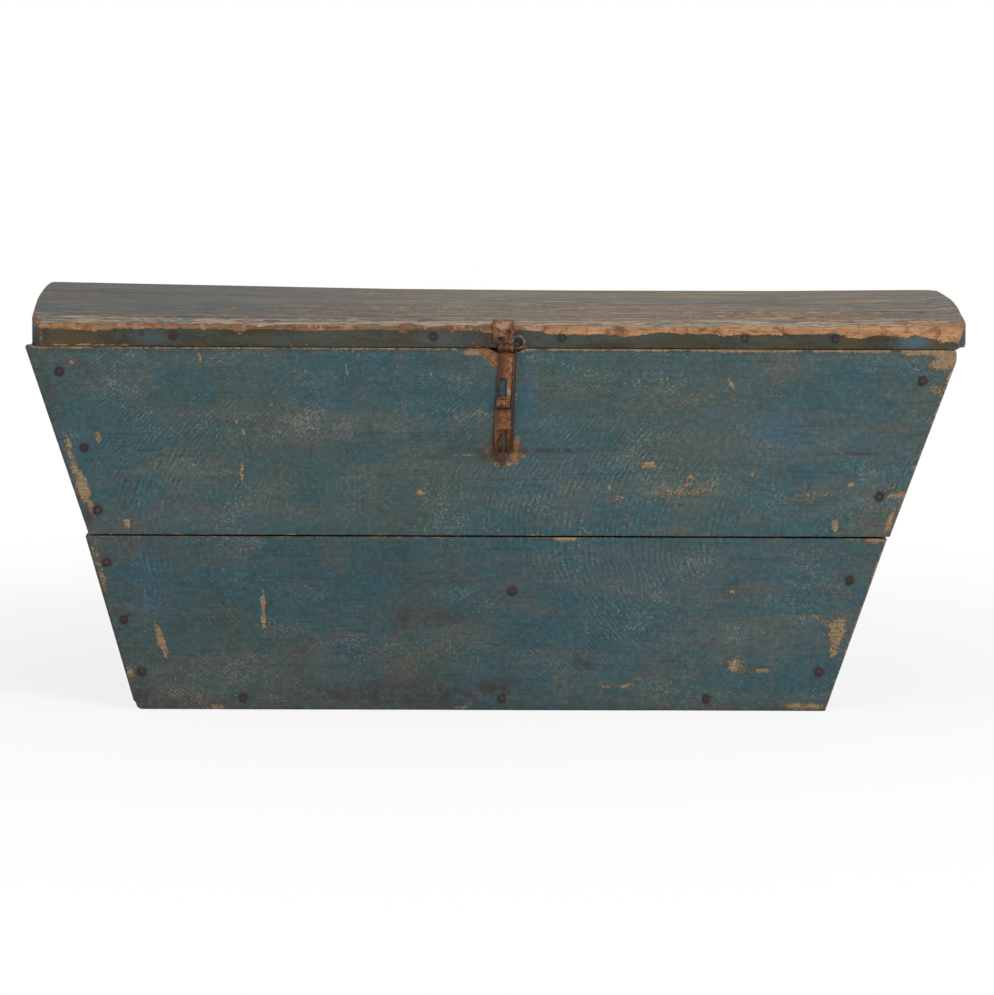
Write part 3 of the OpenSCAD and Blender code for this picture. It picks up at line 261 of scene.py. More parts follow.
class Finish:
    """One material, with short calls for the nodes that every finish uses"""

    def __init__(self, name, axis="X"):
        self.axis = axis
        self.material = bpy.data.materials.new(name)
        self.material.use_nodes = True
        self.tree = self.material.node_tree
        self.shader = self.tree.nodes["Principled BSDF"]
        self.place = self.tree.nodes.new("ShaderNodeTexCoord").outputs["Object"]
        split = self.tree.nodes.new("ShaderNodeSeparateXYZ")
        self.tree.links.new(self.place, split.inputs[0])
        self.x, self.y, self.z = split.outputs

    def give(self, socket, value):
        if isinstance(value, bpy.types.NodeSocket):
            self.tree.links.new(value, socket)
        else:
            socket.default_value = value

    def maths(self, operation, *values):
        node = self.tree.nodes.new("ShaderNodeMath")
        node.operation = operation
        for socket, value in zip(node.inputs, values):
            self.give(socket, value)
        return node.outputs[0]

    def plus(self, *values):
        return reduce(lambda first, second: self.maths("ADD", first, second), values)

    def minus(self, first, second):
        return self.maths("SUBTRACT", first, second)

    def times(self, *values):
        return reduce(lambda first, second: self.maths("MULTIPLY", first, second), values)

    def larger(self, first, second):
        return self.maths("MAXIMUM", first, second)

    def centred(self, value):
        """Noise as it swings to both sides of zero"""
        return self.minus(value, 0.5)

    def noise(self, scale, detail=3.0, rough=0.55, bend=0.0, shift=0.0):
        """Noise with so many waves to a metre along X, Y and Z"""
        mapping = self.tree.nodes.new("ShaderNodeMapping")
        self.give(mapping.inputs["Vector"], self.place)
        mapping.inputs["Scale"].default_value = scale if isinstance(scale, tuple) else (scale,) * 3
        mapping.inputs["Location"].default_value = (shift, shift, shift)
        node = self.tree.nodes.new("ShaderNodeTexNoise")
        self.give(node.inputs["Vector"], mapping.outputs[0])
        node.inputs["Scale"].default_value = 1.0
        node.inputs["Detail"].default_value = detail
        node.inputs["Roughness"].default_value = rough
        node.inputs["Distortion"].default_value = bend
        return node.outputs["Fac"]

    def drawn(self, slow, fast, *settings):
        """Noise drawn out along the grain, with so many waves to a metre along and across it"""
        return self.noise(tuple(slow if name == self.axis else fast for name in "XYZ"), *settings)

    def step(self, value, low, high, to_low=0.0, to_high=1.0):
        """Smooth step of a value between low and high"""
        node = self.tree.nodes.new("ShaderNodeMapRange")
        node.interpolation_type = "SMOOTHSTEP"
        for socket, number in zip(node.inputs, (value, low, high, to_low, to_high)):
            self.give(socket, number)
        return node.outputs[0]

    def field(self, name):
        node = self.tree.nodes.new("ShaderNodeAttribute")
        node.attribute_name = name
        return node.outputs["Fac"]

    def patchy(self, name, value, low, high):
        """A field, broken up by a noise"""
        return self.times(self.field(name), self.step(value, low, high))

    def mix(self, share, first, second, kind="MIX"):
        node = self.tree.nodes.new("ShaderNodeMix")
        node.data_type = "RGBA"
        node.blend_type = kind
        self.give(node.inputs[0], share)
        self.give(node.inputs[6], first)
        self.give(node.inputs[7], second)
        return node.outputs[2]

    def shade(self, share, colour, grey):
        """Multiplies a colour by a grey where the share is 1"""
        return self.mix(share, colour, (grey, grey, grey, 1), "MULTIPLY")

    def layers(self, colour, *rows):
        """Lays stains over a colour: by a value, from and to where, how much, and a colour or a grey"""
        for value, low, high, most_share, stain in rows:
            share = self.step(value, low, high, 0.0, most_share)
            if isinstance(stain, tuple):
                colour = self.mix(share, colour, srgb(*stain))
            else:
                colour = self.shade(share, colour, stain)
        return colour

    def finish(self, colour, roughness, height, depth, specular=0.3, metallic=0.0):
        self.give(self.shader.inputs["Base Color"], colour)
        self.give(self.shader.inputs["Roughness"], roughness)
        self.give(self.shader.inputs["Metallic"], metallic)
        self.shader.inputs["Specular IOR Level"].default_value = specular
        bump = self.tree.nodes.new("ShaderNodeBump")
        bump.inputs["Strength"].default_value = 1.0
        bump.inputs["Distance"].default_value = depth
        self.give(bump.inputs["Height"], height)
        self.give(self.shader.inputs["Normal"], bump.outputs[0])
        return self.material


def srgb(red, green, blue):
    """A colour as it is seen on a screen, from 0 to 255, as a linear colour"""
    shares = [c / 255 for c in (red, green, blue)]
    return tuple(c / 12.92 if c <= 0.04045 else ((c + 0.055) / 1.055) ** 2.4 for c in shares) + (1.0,)


def wood_tone(f, pale, deep):
    """Bare softwood: early and late wood drawn out along the grain"""
    rings = f.drawn(3.0, 120.0, 4, 0.6, 0.6, 3.1)
    fibre = f.drawn(16.0, 900.0, 3, 0.6, 0.0, 7.7)
    share = f.plus(f.times(rings, 0.65), f.times(fibre, 0.35))
    return f.mix(f.step(share, 0.34, 0.66), deep, pale), share


def saw_marks(f):
    """Arcs that a circular saw left across the boards, one family for both boards of a wall"""
    bow_per_metre, mark_gap = 4.3, 5.8 * MM
    height = f.minus(f.z, (JOINT_LOW + JOINT_HIGH) / 2)
    run = f.minus(f.y if f.axis == "Y" else f.x, f.times(height, height, bow_per_metre))
    for waves, drift, shift in ((12.0, 16 * MM, 1.7), (70.0, 4 * MM, 2.9)):
        run = f.plus(run, f.times(f.centred(f.noise(waves, 2, 0.5, 0.0, shift)), drift))
    wave = f.maths("SINE", f.times(run, 2 * math.pi / mark_gap))
    return f.times(wave, f.step(f.noise(110.0, 2, 0.5, 0.0, 4.3), 0.40, 0.60))


def paint_finish(name, axis):
    """Old blue-grey paint, worn through on the saw marks and chipped to bare wood"""
    f = Finish(name, axis)
    broad = f.noise(5.0, 3, 0.55, 0.3, 0.0)
    banks = f.drawn(3.0, 24.0, 3, 0.6, 0.5, 5.0)
    blotch = f.noise(48.0, 4, 0.6, 0.4, 4.0)
    tint = f.drawn(18.0, 34.0, 5, 0.66, 0.4, 8.0)
    crowd = f.drawn(14.0, 24.0, 4, 0.62, 0.3, 12.0)
    grain = f.drawn(13.0, 420.0, 3, 0.6, 0.0, 9.0)
    curdle = f.noise(190.0, 3, 0.6, 0.2, 14.0)
    fleck = f.noise(380.0, 3, 0.7, 0.3, 2.0)
    grit = f.noise(900.0, 2, 0.7, 0.0, 3.0)
    hue = f.noise(70.0, 4, 0.68, 0.5, 23.0)
    torn = f.drawn(40.0, 90.0, 5, 0.74, 0.5, 19.0)
    cut = f.times(saw_marks(f), f.step(f.noise(8.0, 4, 0.65, 0.3, 11.0), 0.42, 0.60))
    paint = f.mix(f.step(broad, 0.40, 0.60), srgb(61, 78, 76), srgb(51, 79, 85))
    paint = f.layers(paint, (hue, 0.52, 0.64, 0.34, (84, 76, 74)), (hue, 0.47, 0.36, 0.34, (58, 82, 76)),
                     (banks, 0.46, 0.62, 0.8, (72, 82, 81)), (tint, 0.53, 0.68, 0.5, (86, 80, 74)),
                     (tint, 0.45, 0.34, 0.6, (46, 79, 87)))
    paint = f.mix(f.times(f.patchy("warm", torn, 0.42, 0.60), 0.6), paint, srgb(94, 88, 78))
    paint = f.mix(f.times(f.patchy("blue", blotch, 0.34, 0.6), 0.5), paint, srgb(42, 82, 103))
    paint = f.layers(paint, (blotch, 0.54, 0.36, 0.8, 0.86))
    # Painted shade: the paint is made darker below about 0.2 m and more so at the lower left, and in the
    # next rows a little darker towards the left
    painted_shade_low_left = f.times(f.step(f.x, 0.20, -0.15), f.step(f.z, 0.22, 0.12))
    paint = f.shade(f.plus(f.step(f.z, 0.20, 0.16, 0.0, 0.5), painted_shade_low_left), paint, 0.87)
    # The last two rows are painted shade in the saw marks' grooves and a painted highlight on their
    # ridges
    paint = f.layers(paint, (f.x, 0.18, -0.10, 1.0, 0.925), (curdle, 0.48, 0.36, 1.0, 0.84),
                     (curdle, 0.52, 0.64, 1.0, 1.24), (grain, 0.46, 0.34, 1.0, 0.80),
                     (cut, -0.3, -0.95, 1.0, 0.82), (cut, 0.3, 1.0, 1.0, 1.14))
    worn = f.plus(fleck, f.times(cut, 0.05), f.times(f.centred(grit), 0.4))
    specks = f.times(f.patchy("specks", torn, 0.40, 0.62), 0.09)
    thin = f.plus(f.times(f.centred(crowd), 0.55), worn, specks)
    paint = f.layers(paint, (worn, 0.44, 0.30, 1.0, 0.74), (thin, 0.54, 0.68, 1.0, 1.34),
                     (thin, 0.64, 0.76, 0.55, (142, 134, 112)))
    ragged = f.centred(f.noise(130.0, 5, 0.72, 0.6, 13.0))
    streaks = f.centred(f.drawn(60.0, 420.0, 3, 0.65, 0.0, 15.0))
    chip = f.plus(f.field("bare"), ragged, f.times(streaks, 0.6), f.times(f.centred(worn), 1.3))
    wood, _ = wood_tone(f, srgb(150, 128, 98), srgb(102, 80, 58))
    wood = f.layers(wood, (blotch, 0.48, 0.60, 0.5, (138, 110, 82)),
                    (grit, 0.52, 0.66, 0.6, (172, 152, 122)), (curdle, 0.50, 0.38, 1.0, 0.72))
    rusted = f.mix(f.step(curdle, 0.42, 0.58), srgb(96, 56, 28), srgb(150, 98, 54))
    wood = f.mix(f.times(f.field("rust"), 0.8), wood, rusted)
    colour = f.layers(paint, (chip, 0.36, 0.50, 0.75, (84, 74, 58)))
    colour = f.mix(f.step(chip, 0.47, 0.62), colour, wood)
    colour = f.layers(colour, (f.field("rust"), 0.2, 0.9, 0.45, (96, 68, 44)))
    # Dirt darkens the colour, and so does the painted shade that some pieces keep in the same field
    soil = f.patchy("soil", f.noise(100.0, 5, 0.7, 0.4, 17.0), 0.34, 0.60)
    colour = f.mix(f.times(soil, 0.85), colour, srgb(48, 36, 32))
    sunk = f.times(f.step(chip, 0.42, 0.56), 0.35)
    height = f.plus(f.minus(f.plus(f.times(grain, 0.5), f.times(cut, 0.14)), sunk), f.times(fleck, 0.3))
    return f.finish(colour, f.step(fleck, 0.3, 0.7, 0.66, 0.88), height, 0.5 * MM, 0.25)


def lid_finish(name):
    """The lid's thin weathered paint, worn along the grain to grey and tan wood"""
    f = Finish(name)
    slow = f.drawn(3.0, 60.0, 4, 0.6, 0.4, 1.0)
    mid = f.drawn(20.0, 230.0, 5, 0.72, 0.5, 2.0)
    fibre = f.drawn(60.0, 480.0, 3, 0.68, 0.0, 3.0)
    blotch = f.drawn(14.0, 44.0, 4, 0.62, 0.4, 4.0)
    shakes = f.drawn(9.0, 340.0, 4, 0.65, 0.2, 41.0)
    grit = f.noise(420.0, 3, 0.7, 0.0, 5.0)
    crust = f.drawn(70.0, 170.0, 6, 0.74, 0.6, 13.0)
    depth = f.minus(f.y, LID_FRONT)
    past_hasp = (f.x, -0.02, 0.10)
    right = f.step(f.x, -0.32, -0.10)
    tan = f.mix(right, srgb(102, 99, 94), srgb(122, 109, 96))
    grey = f.mix(right, srgb(82, 87, 87), srgb(98, 97, 92))
    paint = f.mix(f.step(slow, 0.42, 0.58), grey, tan)
    paint = f.layers(paint, (blotch, 0.50, 0.64, 0.7, (90, 100, 98)),
                     (blotch, 0.46, 0.34, 0.7, (112, 94, 84)))
    paint = f.mix(f.times(f.field("blue"), 0.7), paint, srgb(78, 84, 84))
    paint = f.layers(paint, (mid, 0.48, 0.34, 0.9, 0.66))
    strong = f.larger(f.step(f.x, -0.30, -0.02, 0.35, 1.0), f.step(depth, 40 * MM, 12 * MM, 0.0, 0.8))
    near = f.step(depth, 45 * MM, 8 * MM, 0.0, 0.12)
    light = f.plus(f.times(f.centred(fibre), 0.35), f.plus(mid, near))
    paint = f.mix(f.times(f.step(light, 0.55, 0.68), strong), paint, srgb(172, 154, 132))
    paint = f.mix(f.times(f.step(fibre, 0.58, 0.70), strong), paint, srgb(164, 152, 136))
    paint = f.layers(paint, (fibre, 0.46, 0.34, 0.9, 0.68), (grit, 0.45, 0.32, 1.0, 0.80))
    paint = f.shade(f.times(f.step(shakes, 0.46, 0.36), strong), paint, 0.62)
    paint = f.mix(f.times(f.step(shakes, 0.56, 0.66, 0.0, 0.8), strong), paint, srgb(180, 166, 146))
    edge = f.mix(f.step(blotch, 0.40, 0.62), srgb(50, 52, 42), srgb(58, 66, 62))
    edge = f.layers(edge, (grit, 0.52, 0.68, 0.6, (92, 86, 66)))
    edge = f.mix(f.patchy("olive", grit, 0.30, 0.56), edge, srgb(72, 60, 34))
    edge = f.mix(f.times(f.field("blue"), 0.8), edge, srgb(70, 88, 96))
    face = f.step(f.field("teal"), 0.3, 0.7)
    along_top = f.maths("DIVIDE", depth, f.field("above"))
    down_face = f.maths("DIVIDE", f.minus(LID_Z + EDGE_H, f.z), f.field("below"))
    lumps = f.centred(f.drawn(26.0, 50.0, 5, 0.70, 0.4, 31.0))
    lumps = f.times(lumps, f.step(*past_hasp, 5.4, 2.4))
    from_arris = f.plus(f.larger(along_top, down_face), lumps)
    worn = f.larger(f.field("bare"), f.step(from_arris, 1.7, 0.7, 0.0, 0.95))
    crusted = f.times(f.centred(crust), f.step(*past_hasp, 2.3, 1.0))
    chip = f.plus(worn, crusted, f.times(f.centred(mid), 0.8), f.times(f.centred(grit), 0.7))
    fresh = f.step(*past_hasp)
    pale = f.mix(fresh, srgb(150, 114, 80), srgb(192, 150, 110))
    deep = f.mix(fresh, srgb(98, 66, 42), srgb(142, 100, 64))
    wood, _ = wood_tone(f, pale, deep)
    aged = f.times(f.step(depth, 10 * MM, 24 * MM, 0.0, 0.75), f.step(f.x, -0.38, -0.30))
    wood = f.mix(aged, wood, f.mix(f.step(fibre, 0.42, 0.60), srgb(118, 100, 84), srgb(180, 160, 138)))
    wood = f.layers(wood, (f.noise(60.0, 5, 0.7, 0.4, 21.0), 0.50, 0.60, 0.8, (112, 72, 44)),
                    (f.noise(75.0, 5, 0.7, 0.4, 27.0), 0.54, 0.64, 0.6, (178, 138, 112)),
                    (fibre, 0.45, 0.32, 1.0, 0.66), (crust, 0.47, 0.37, 1.0, 0.60))
    ring = f.mix(face, srgb(100, 80, 60), srgb(58, 42, 28))
    colour = f.mix(f.step(chip, 0.34, 0.48, 0.0, 0.85), f.mix(face, paint, edge), ring)
    colour = f.mix(f.step(chip, 0.47, 0.58), colour, wood)
    # Dirt darkens the colour, and so does the painted shade that some pieces keep in the same field
    soil = f.patchy("soil", f.noise(120.0, 5, 0.7, 0.3, 17.0), 0.36, 0.58)
    colour = f.mix(f.times(soil, 0.9), colour, srgb(48, 34, 25))
    sunk = f.times(f.step(chip, 0.42, 0.56), 0.3)
    height = f.minus(f.plus(f.times(mid, 1.2), f.times(fibre, 0.6)), sunk)
    return f.finish(colour, f.step(mid, 0.3, 0.7, 0.70, 0.90), height, 0.5 * MM, 0.25)


def softwood_finish(name, axis):
    """Unpainted boards, darkened with age"""
    f = Finish(name, axis)
    wood, rings = wood_tone(f, srgb(176, 138, 96), srgb(126, 90, 58))
    blotch = f.noise(8.0, 4, 0.6, 0.3, 4.0)
    figure = f.drawn(1.6, 14.0, 2, 0.5, 0.3, 33.0)
    rings_cut = f.maths("SINE", f.times(figure, 170.0))
    pores = f.drawn(30.0, 700.0, 2, 0.6, 0.0, 35.0)
    sawn = saw_marks(f)
    # The last row is painted shade in the saw marks' grooves
    wood = f.layers(wood, (blotch, 0.42, 0.66, 0.6, (128, 108, 86)), (rings_cut, 0.1, 1.0, 0.8, 0.78),
                    (pores, 0.44, 0.34, 0.8, 0.76), (sawn, 0.0, -0.9, 0.35, 0.82))
    soil = f.patchy("soil", f.noise(60.0, 5, 0.65, 0.3, 17.0), 0.30, 0.62)
    wood = f.mix(f.times(soil, 0.85), wood, srgb(44, 36, 30))
    height = f.plus(f.times(rings, 0.8), f.times(sawn, 0.12))
    return f.finish(wood, f.step(blotch, 0.3, 0.7, 0.72, 0.88), height, 0.5 * MM)


def iron_finish(name, dark, rust, rubbed, shine=0.0):
    """Forged iron: dark scale with rust bloom, rubbed paler where bare and black where soiled"""
    f = Finish(name)
    bloom = f.noise(210.0, 5, 0.66, 0.5, 1.0)
    grit = f.noise(1100.0, 3, 0.65, 0.0, 2.0)
    wear = f.noise(120.0, 4, 0.6, 0.3, 3.0)
    colour = f.mix(f.step(bloom, 0.40, 0.60), dark, rust)
    colour = f.layers(colour, (grit, 0.46, 0.34, 1.0, 0.70), (grit, 0.56, 0.70, 0.4, (140, 104, 76)))
    rub = f.step(f.plus(f.field("bare"), f.times(f.centred(wear), 2.0)), 0.35, 0.75)
    colour = f.mix(rub, colour, rubbed)
    colour = f.mix(f.patchy("soil", bloom, 0.30, 0.55), colour, srgb(34, 27, 24))
    height = f.plus(f.times(bloom, 0.7), f.times(grit, 0.3))
    rough = f.step(rub, 0.0, 1.0, 0.86, 0.62 - 0.2 * shine)
    return f.finish(colour, rough, height, 0.35 * MM, 0.35, f.times(rub, shine))


PAINT_X = paint_finish("front_paint", "X")
PAINT_Y = paint_finish("end_paint", "Y")
LID_PAINT = lid_finish("lid_paint")
SOFTWOOD_X = softwood_finish("softwood_long", "X")
SOFTWOOD_Y = softwood_finish("softwood_cross", "Y")
SOFTWOOD_Z = softwood_finish("softwood_upright", "Z")
IRON = iron_finish("hinge_iron", srgb(58, 46, 40), srgb(96, 64, 46), srgb(122, 104, 90), 0.3)
HASP_IRON = iron_finish("hasp_iron", srgb(76, 46, 25), srgb(124, 76, 42), srgb(142, 110, 88), 0.1)
NAIL_IRON = iron_finish("nail_iron", srgb(32, 28, 29), srgb(46, 35, 34), srgb(72, 54, 50), 0.1)
WIRE = iron_finish("wire_steel", srgb(56, 46, 40), srgb(82, 64, 52), srgb(120, 106, 96), 0.5)


def block(x_left, x_right, y0, y1, z0, z1):
    """A board's plain block; its ends may lean, as functions of the height"""
    bm = bmesh.new()
    bmesh.ops.create_cube(bm, size=2)
    for v in bm.verts:
        z = z1 if v.co.z > 0 else z0
        v.co = ((x_right if v.co.x > 0 else x_left)(z), y1 if v.co.y > 0 else y0, z)
    return bm


def soften(bm, radius, segments=3, edges=None):
    """Rounds the arrises"""
    bmesh.ops.bevel(bm, geom=edges or bm.edges[:], offset=radius, offset_type="OFFSET", affect="EDGES",
                    segments=segments, profile=0.5, material=-1, clamp_overlap=True)


def divide(bm, spacing):
    """Cuts the long faces into a grid fine enough to carry dents and worn arrises"""
    gaps_at_least, along_at_least = 2.5, 0.85
    for axis, gap in enumerate(spacing):
        edges = []
        for e in bm.edges:
            run = e.verts[1].co - e.verts[0].co
            if run.length > gaps_at_least * gap and abs(run[axis]) > along_at_least * run.length:
                edges.append(e)
        if edges:
            longest = max(e.calc_length() for e in edges)
            bmesh.ops.subdivide_edges(bm, edges=edges, cuts=int(longest / gap), use_grid_fill=True)


def weather(bm, swell, nibble, seed):
    """Sinks the faces in slow waves and eats into the arrises, always inwards"""
    slow_waves, quick_waves, bites, small_bites = 9, 70, 45, 140
    on_face = 0.93
    bm.normal_update()
    shift = Vector((seed, seed * 0.37, -seed))
    moves = []
    for v in bm.verts:
        slow = 0.5 + 0.5 * noise.noise(v.co * slow_waves + shift)
        quick = 0.5 + 0.5 * noise.noise(v.co * quick_waves + shift)
        depth = swell * (0.75 * slow + 0.25 * quick)
        if max(abs(c) for c in v.normal) < on_face:
            bite = noise.noise(v.co * bites - shift) + 0.6 * noise.noise(v.co * small_bites - shift)
            depth += nibble * max(0.0, bite + 0.15)
        moves.append(v.normal * -depth)
    for v, move in zip(bm.verts, moves):
        v.co += move


def most(*fields):
    """The strongest of several kinds of wear at each point"""
    return reduce(np.maximum, fields)


def spots(a, b, rows):
    """How strongly each point lies in the listed places, from 0 to a place's strength"""
    faded_out, fade = 1.5, 0.9
    found = np.zeros_like(a)
    for mid_a, mid_b, long, wide, strength, *turn in rows:
        angle = math.radians(sum(turn))
        c, s = math.cos(angle), math.sin(angle)
        along = ((a - mid_a) * c + (b - mid_b) * s) / long
        across = ((b - mid_b) * c - (a - mid_a) * s) / wide
        found = most(found, strength * np.clip((faded_out - np.hypot(along, across)) / fade, 0, 1))
    return found


def ragged_groups(rows, seed):
    """Breaks each worn place into a group of smaller ones"""
    in_a_group = 8
    draw = np.random.default_rng(seed)
    found = []
    for a, b, long, wide, strength, *turn in rows:
        for _ in range(in_a_group):
            u, v = draw.uniform(-1, 1, 2)
            size = draw.uniform(0.15, 0.5)
            found.append((a + u * long, b + v * wide, long * size, wide * size,
                          strength * draw.uniform(0.7, 1.05), *turn))
    return found


def ripple(points, scale, seed):
    """Noise at each point, about -1 to 1, with so many waves to a metre"""
    shift = Vector((seed, -seed, seed * 0.5))
    return np.array([noise.noise(Vector(p) * scale + shift) for p in points])


def islands(node):
    """Points of each separate solid of a node"""
    bm = bmesh.new()
    bm.from_mesh(frame["nodes"][node].data)
    bmesh.ops.remove_doubles(bm, verts=bm.verts, dist=0.01 * MM)
    seen, found = set(), []
    for start in bm.verts:
        if start in seen:
            continue
        island, queue = [], [start]
        seen.add(start)
        while queue:
            v = queue.pop()
            island.append(v.co.copy())
            for e in v.link_edges:
                other = e.other_vert(v)
                if other not in seen:
                    seen.add(other)
                    queue.append(other)
        found.append(island)
    bm.free()
    return found


def head_place(island, out):
    """Middle of a nail head's outer face, where out points from the wood"""
    outer = max(co.dot(out) for co in island)
    face = [co for co in island if co.dot(out) > outer - 0.2 * MM]
    return sum(face, Vector()) / len(face)


def add_object(name, data):
    obj = bpy.data.objects.new(name, data)
    bpy.context.scene.collection.objects.link(obj)
    return obj


def piece(bm, node, ending, slot, *materials):
    """Makes the object that stands for a CAD node, on the body that the node belongs to"""
    name, body = f"{node}_{ending}", BODY_OF[node]
    mesh = bpy.data.meshes.new(name)
    bmesh.ops.recalc_face_normals(bm, faces=bm.faces)
    for face in bm.faces:
        face.smooth = True
    bm.to_mesh(mesh)
    bm.free()
    mesh.set_sharp_from_angle(angle=SHARP_FROM)
    for material in materials:
        mesh.materials.append(material)
    obj = add_object(name, mesh)
    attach(obj, body)
    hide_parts(node)
    return obj


def points_of(obj):
    """A piece's points as rows of X, Y and Z"""
    co = np.zeros(len(obj.data.vertices) * 3)
    obj.data.vertices.foreach_get("co", co)
    return co.reshape(-1, 3)


def mark(obj, **fields):
    """Stores fields of wear, dirt, painted shade and tint, with one value at each point"""
    for name, values in fields.items():
        layer = obj.data.attributes.new(name, "FLOAT", "POINT")
        layer.data.foreach_set("value", np.asarray(values, np.float32))


def inner_faces(bm, direction):
    """Gives the unpainted faces on the inside the piece's second material"""
    facing = 0.7
    bm.normal_update()
    for face in bm.faces:
        if face.normal.dot(direction) > facing:
            face.material_index = 1


def edge_wear(depth, width, strength):
    """Bare wood that fades with the distance from an arris, all in millimetres"""
    return strength * np.clip(1.4 - depth / width, 0, 1)


def rusted_corner(x, z):
    """The wedge of bare wood that the hasp's rust has stained, left of the hasp under the rim"""
    top, foot, right, slant = 367, 338, 34, 0.95
    inward = x + 3 - (top - z) * slant
    return np.clip(inward / 3 + 0.4, 0, 1) * (x < right) * np.clip((z - foot) / 5, 0, 1)


def nail_stains(a, b, nails, reach):
    """Dark rings that the nails left in the wood"""
    found = np.zeros_like(a)
    for na, nb in nails:
        found = most(found, np.clip((reach - np.hypot(a - na, b - nb)) / (0.5 * reach), 0, 1))
    return found


def wall_board(z0, z1, front, spacing, seed):
    """A board of the front or the back, from one leaning end to the other"""
    y0, y1 = (FRONT_Y, FRONT_Y + WALL_T) if front else (BACK_Y - WALL_T, BACK_Y)
    bm = block(lambda z: end_x(LEFT, z), lambda z: end_x(RIGHT, z), y0, y1, z0, z1)
    upper_arris, lower_arris = 0.7 * MM, 1.2 * MM
    soften(bm, upper_arris if z1 > JOINT_HIGH else lower_arris)
    divide(bm, spacing)
    inner_faces(bm, Vector((0, 1 if front else -1, 0)))
    weather(bm, 0.3 * MM, 0.8 * MM, seed)
    return bm


def flat_places(node, out):
    """Places of a group's nail heads, in millimetres"""
    return [head_place(island, out) / MM for island in islands(node)]


FRONT_NAILS = [(p.x, p.z) for p in flat_places("front_nails", Vector((0, -1, 0)))]
BACK_NAILS = [(p.x, p.z) for p in flat_places("back_nails", Vector((0, 1, 0)))]
LID_NAILS = [(p.x, p.z - LID_Z / MM) for p in flat_places("lid_strip_nails", Vector((0, -1, 0)))
             if p.y < 0]
# The lists for each kind of wear, of the front and of the back
FRONT_WORN = {"chips": FRONT_CHIPS, "stains": FRONT_STAINS, "blue": FRONT_BLUE, "warm": FRONT_WARM,
              "specks": FRONT_SPECKS, "rust": FRONT_RUST}
BACK_WORN = {
    "chips": ragged_groups(BACK_CHIPS, 5),
    "blue": [(-200, 250, 60, 40, 0.5), (200, 100, 80, 40, 0.5)],
    "warm": [(-60, 300, 90, 30, 0.7), (260, 200, 70, 20, 0.7), (-220, 80, 80, 24, 0.6)],
    "specks": [(-120, 220, 60, 16, 0.9), (160, 300, 60, 14, 0.9), (60, 70, 50, 14, 0.8)],
    "stains": [(0, 10, 300, 12, 0.6), (-241, 300, 22, 70, 0.6), (279, 300, 22, 70, 0.6)],
    "rust": [(-241, 280, 20, 80, 0.5), (279, 280, 20, 80, 0.5)],
}


def front_marks(obj, z0, z1, worn, nails):
    """Worn, stained and tinted places of a board, each kind from its own list, and painted shade along
    its left end
    """
    p = points_of(obj) / MM
    x, z = p[:, 0], p[:, 2]
    at_front = p[0, 1] < 0
    deep = np.abs(p[:, 1] - (FRONT_Y if at_front else BACK_Y) / MM)
    to_face = np.minimum(deep, WALL_T / MM - deep)
    left, right = (np.hypot(x - np.array([end_x(side, v * MM) for v in z]) / MM, to_face)
                   for side in (LEFT, RIGHT))
    to_top, to_foot = z1 / MM - z, z - z0 / MM
    uneven = ripple(p * MM, 60, 8.0)
    bare = most(0.06 + 0.08 * ripple(p * MM, 14, 3.0) + spots(x, z, worn["chips"]),
                edge_wear(left, 1.6, 0.5) + 0.25 * uneven, edge_wear(right, 2.6, 0.62) + 0.28 * uneven,
                *(edge_wear(away, 1.0, 0.42) + 0.25 * uneven for away in (to_top, to_foot)))
    # Painted shade along the left end's arris, with its dirt: the left edge is darkened wider and more
    # strongly than the right
    soil = most(0.04 + spots(x, z, worn["stains"]), nail_stains(x, z, nails, 8),
                edge_wear(left, 2.5, 0.8), edge_wear(right, 1.2, 0.5), edge_wear(z, 6.0, 0.6))
    joint_edge = 2
    inside_joint = (deep >= joint_edge) & (np.minimum(to_foot, to_top) < joint_edge)
    bare, soil = np.where(inside_joint, 1.2, bare), np.where(inside_joint, 0.8, soil)
    rust = spots(x, z, worn["rust"])
    if at_front:
        corner = rusted_corner(x, z)
        bare, rust = most(bare, corner), most(rust, corner)
        soil = most(soil, edge_wear(RIM_Z / MM - z, 3.5, 0.5))
    mark(obj, bare=bare, soil=soil, rust=rust,
         **{name: spots(x, z, worn[name]) for name in ("blue", "warm", "specks")})


def top_arris(obj):
    """Adds the wear along the upper front board's top"""
    p = points_of(obj) / MM
    layer = obj.data.attributes["bare"]
    bare = np.zeros(len(p), np.float32)
    layer.data.foreach_get("value", bare)
    uneven = ripple(p * MM, 50, 21.0)
    for start, end, width, strength in TOP_ARRIS:
        inside = np.clip((p[:, 0] - start) / 8, 0, 1) * np.clip((end - p[:, 0]) / 8, 0, 1)
        worn = edge_wear(RIM_Z / MM - p[:, 2], width * 1.6, strength) * inside
        bare = most(bare, worn + 0.2 * uneven * inside * (worn > 0))
    layer.data.foreach_set("value", bare.astype(np.float32))


def hollow_rim(bm):
    """The hollow worn into the rim under the hasp's knuckles"""
    radius, depth, back = 30 * MM, 5.5 * MM, FRONT_Y + 9 * MM
    for v in bm.verts:
        off = v.co.x - HASP_X
        if abs(off) < radius and v.co.y < back:
            low = RIM_Z + radius - depth - math.sqrt(radius * radius - off * off)
            v.co.z = min(v.co.z, low)


def round_foot(bm, radius):
    """Rounds the lower left corner of the front, knocked off over the years"""
    for v in bm.verts:
        across = radius - (v.co.x - FOOT[LEFT])
        down = radius - v.co.z
        far = math.hypot(across, down)
        if across > 0 and down > 0 and far > radius:
            v.co.x += across * (1 - radius / far)
            v.co.z += down * (1 - radius / far)


def wear_shoulder(bm):
    """Wears off the upper right corner of the front"""
    reach, cut = 14 * MM, 4.5 * MM
    for v in bm.verts:
        high = max(0.0, v.co.z - RIM_Z + reach) / reach
        near = within((v.co.x - FRONT_HIGH[1].x + 2 * reach) / reach)
        v.co.x -= cut * high * high * near


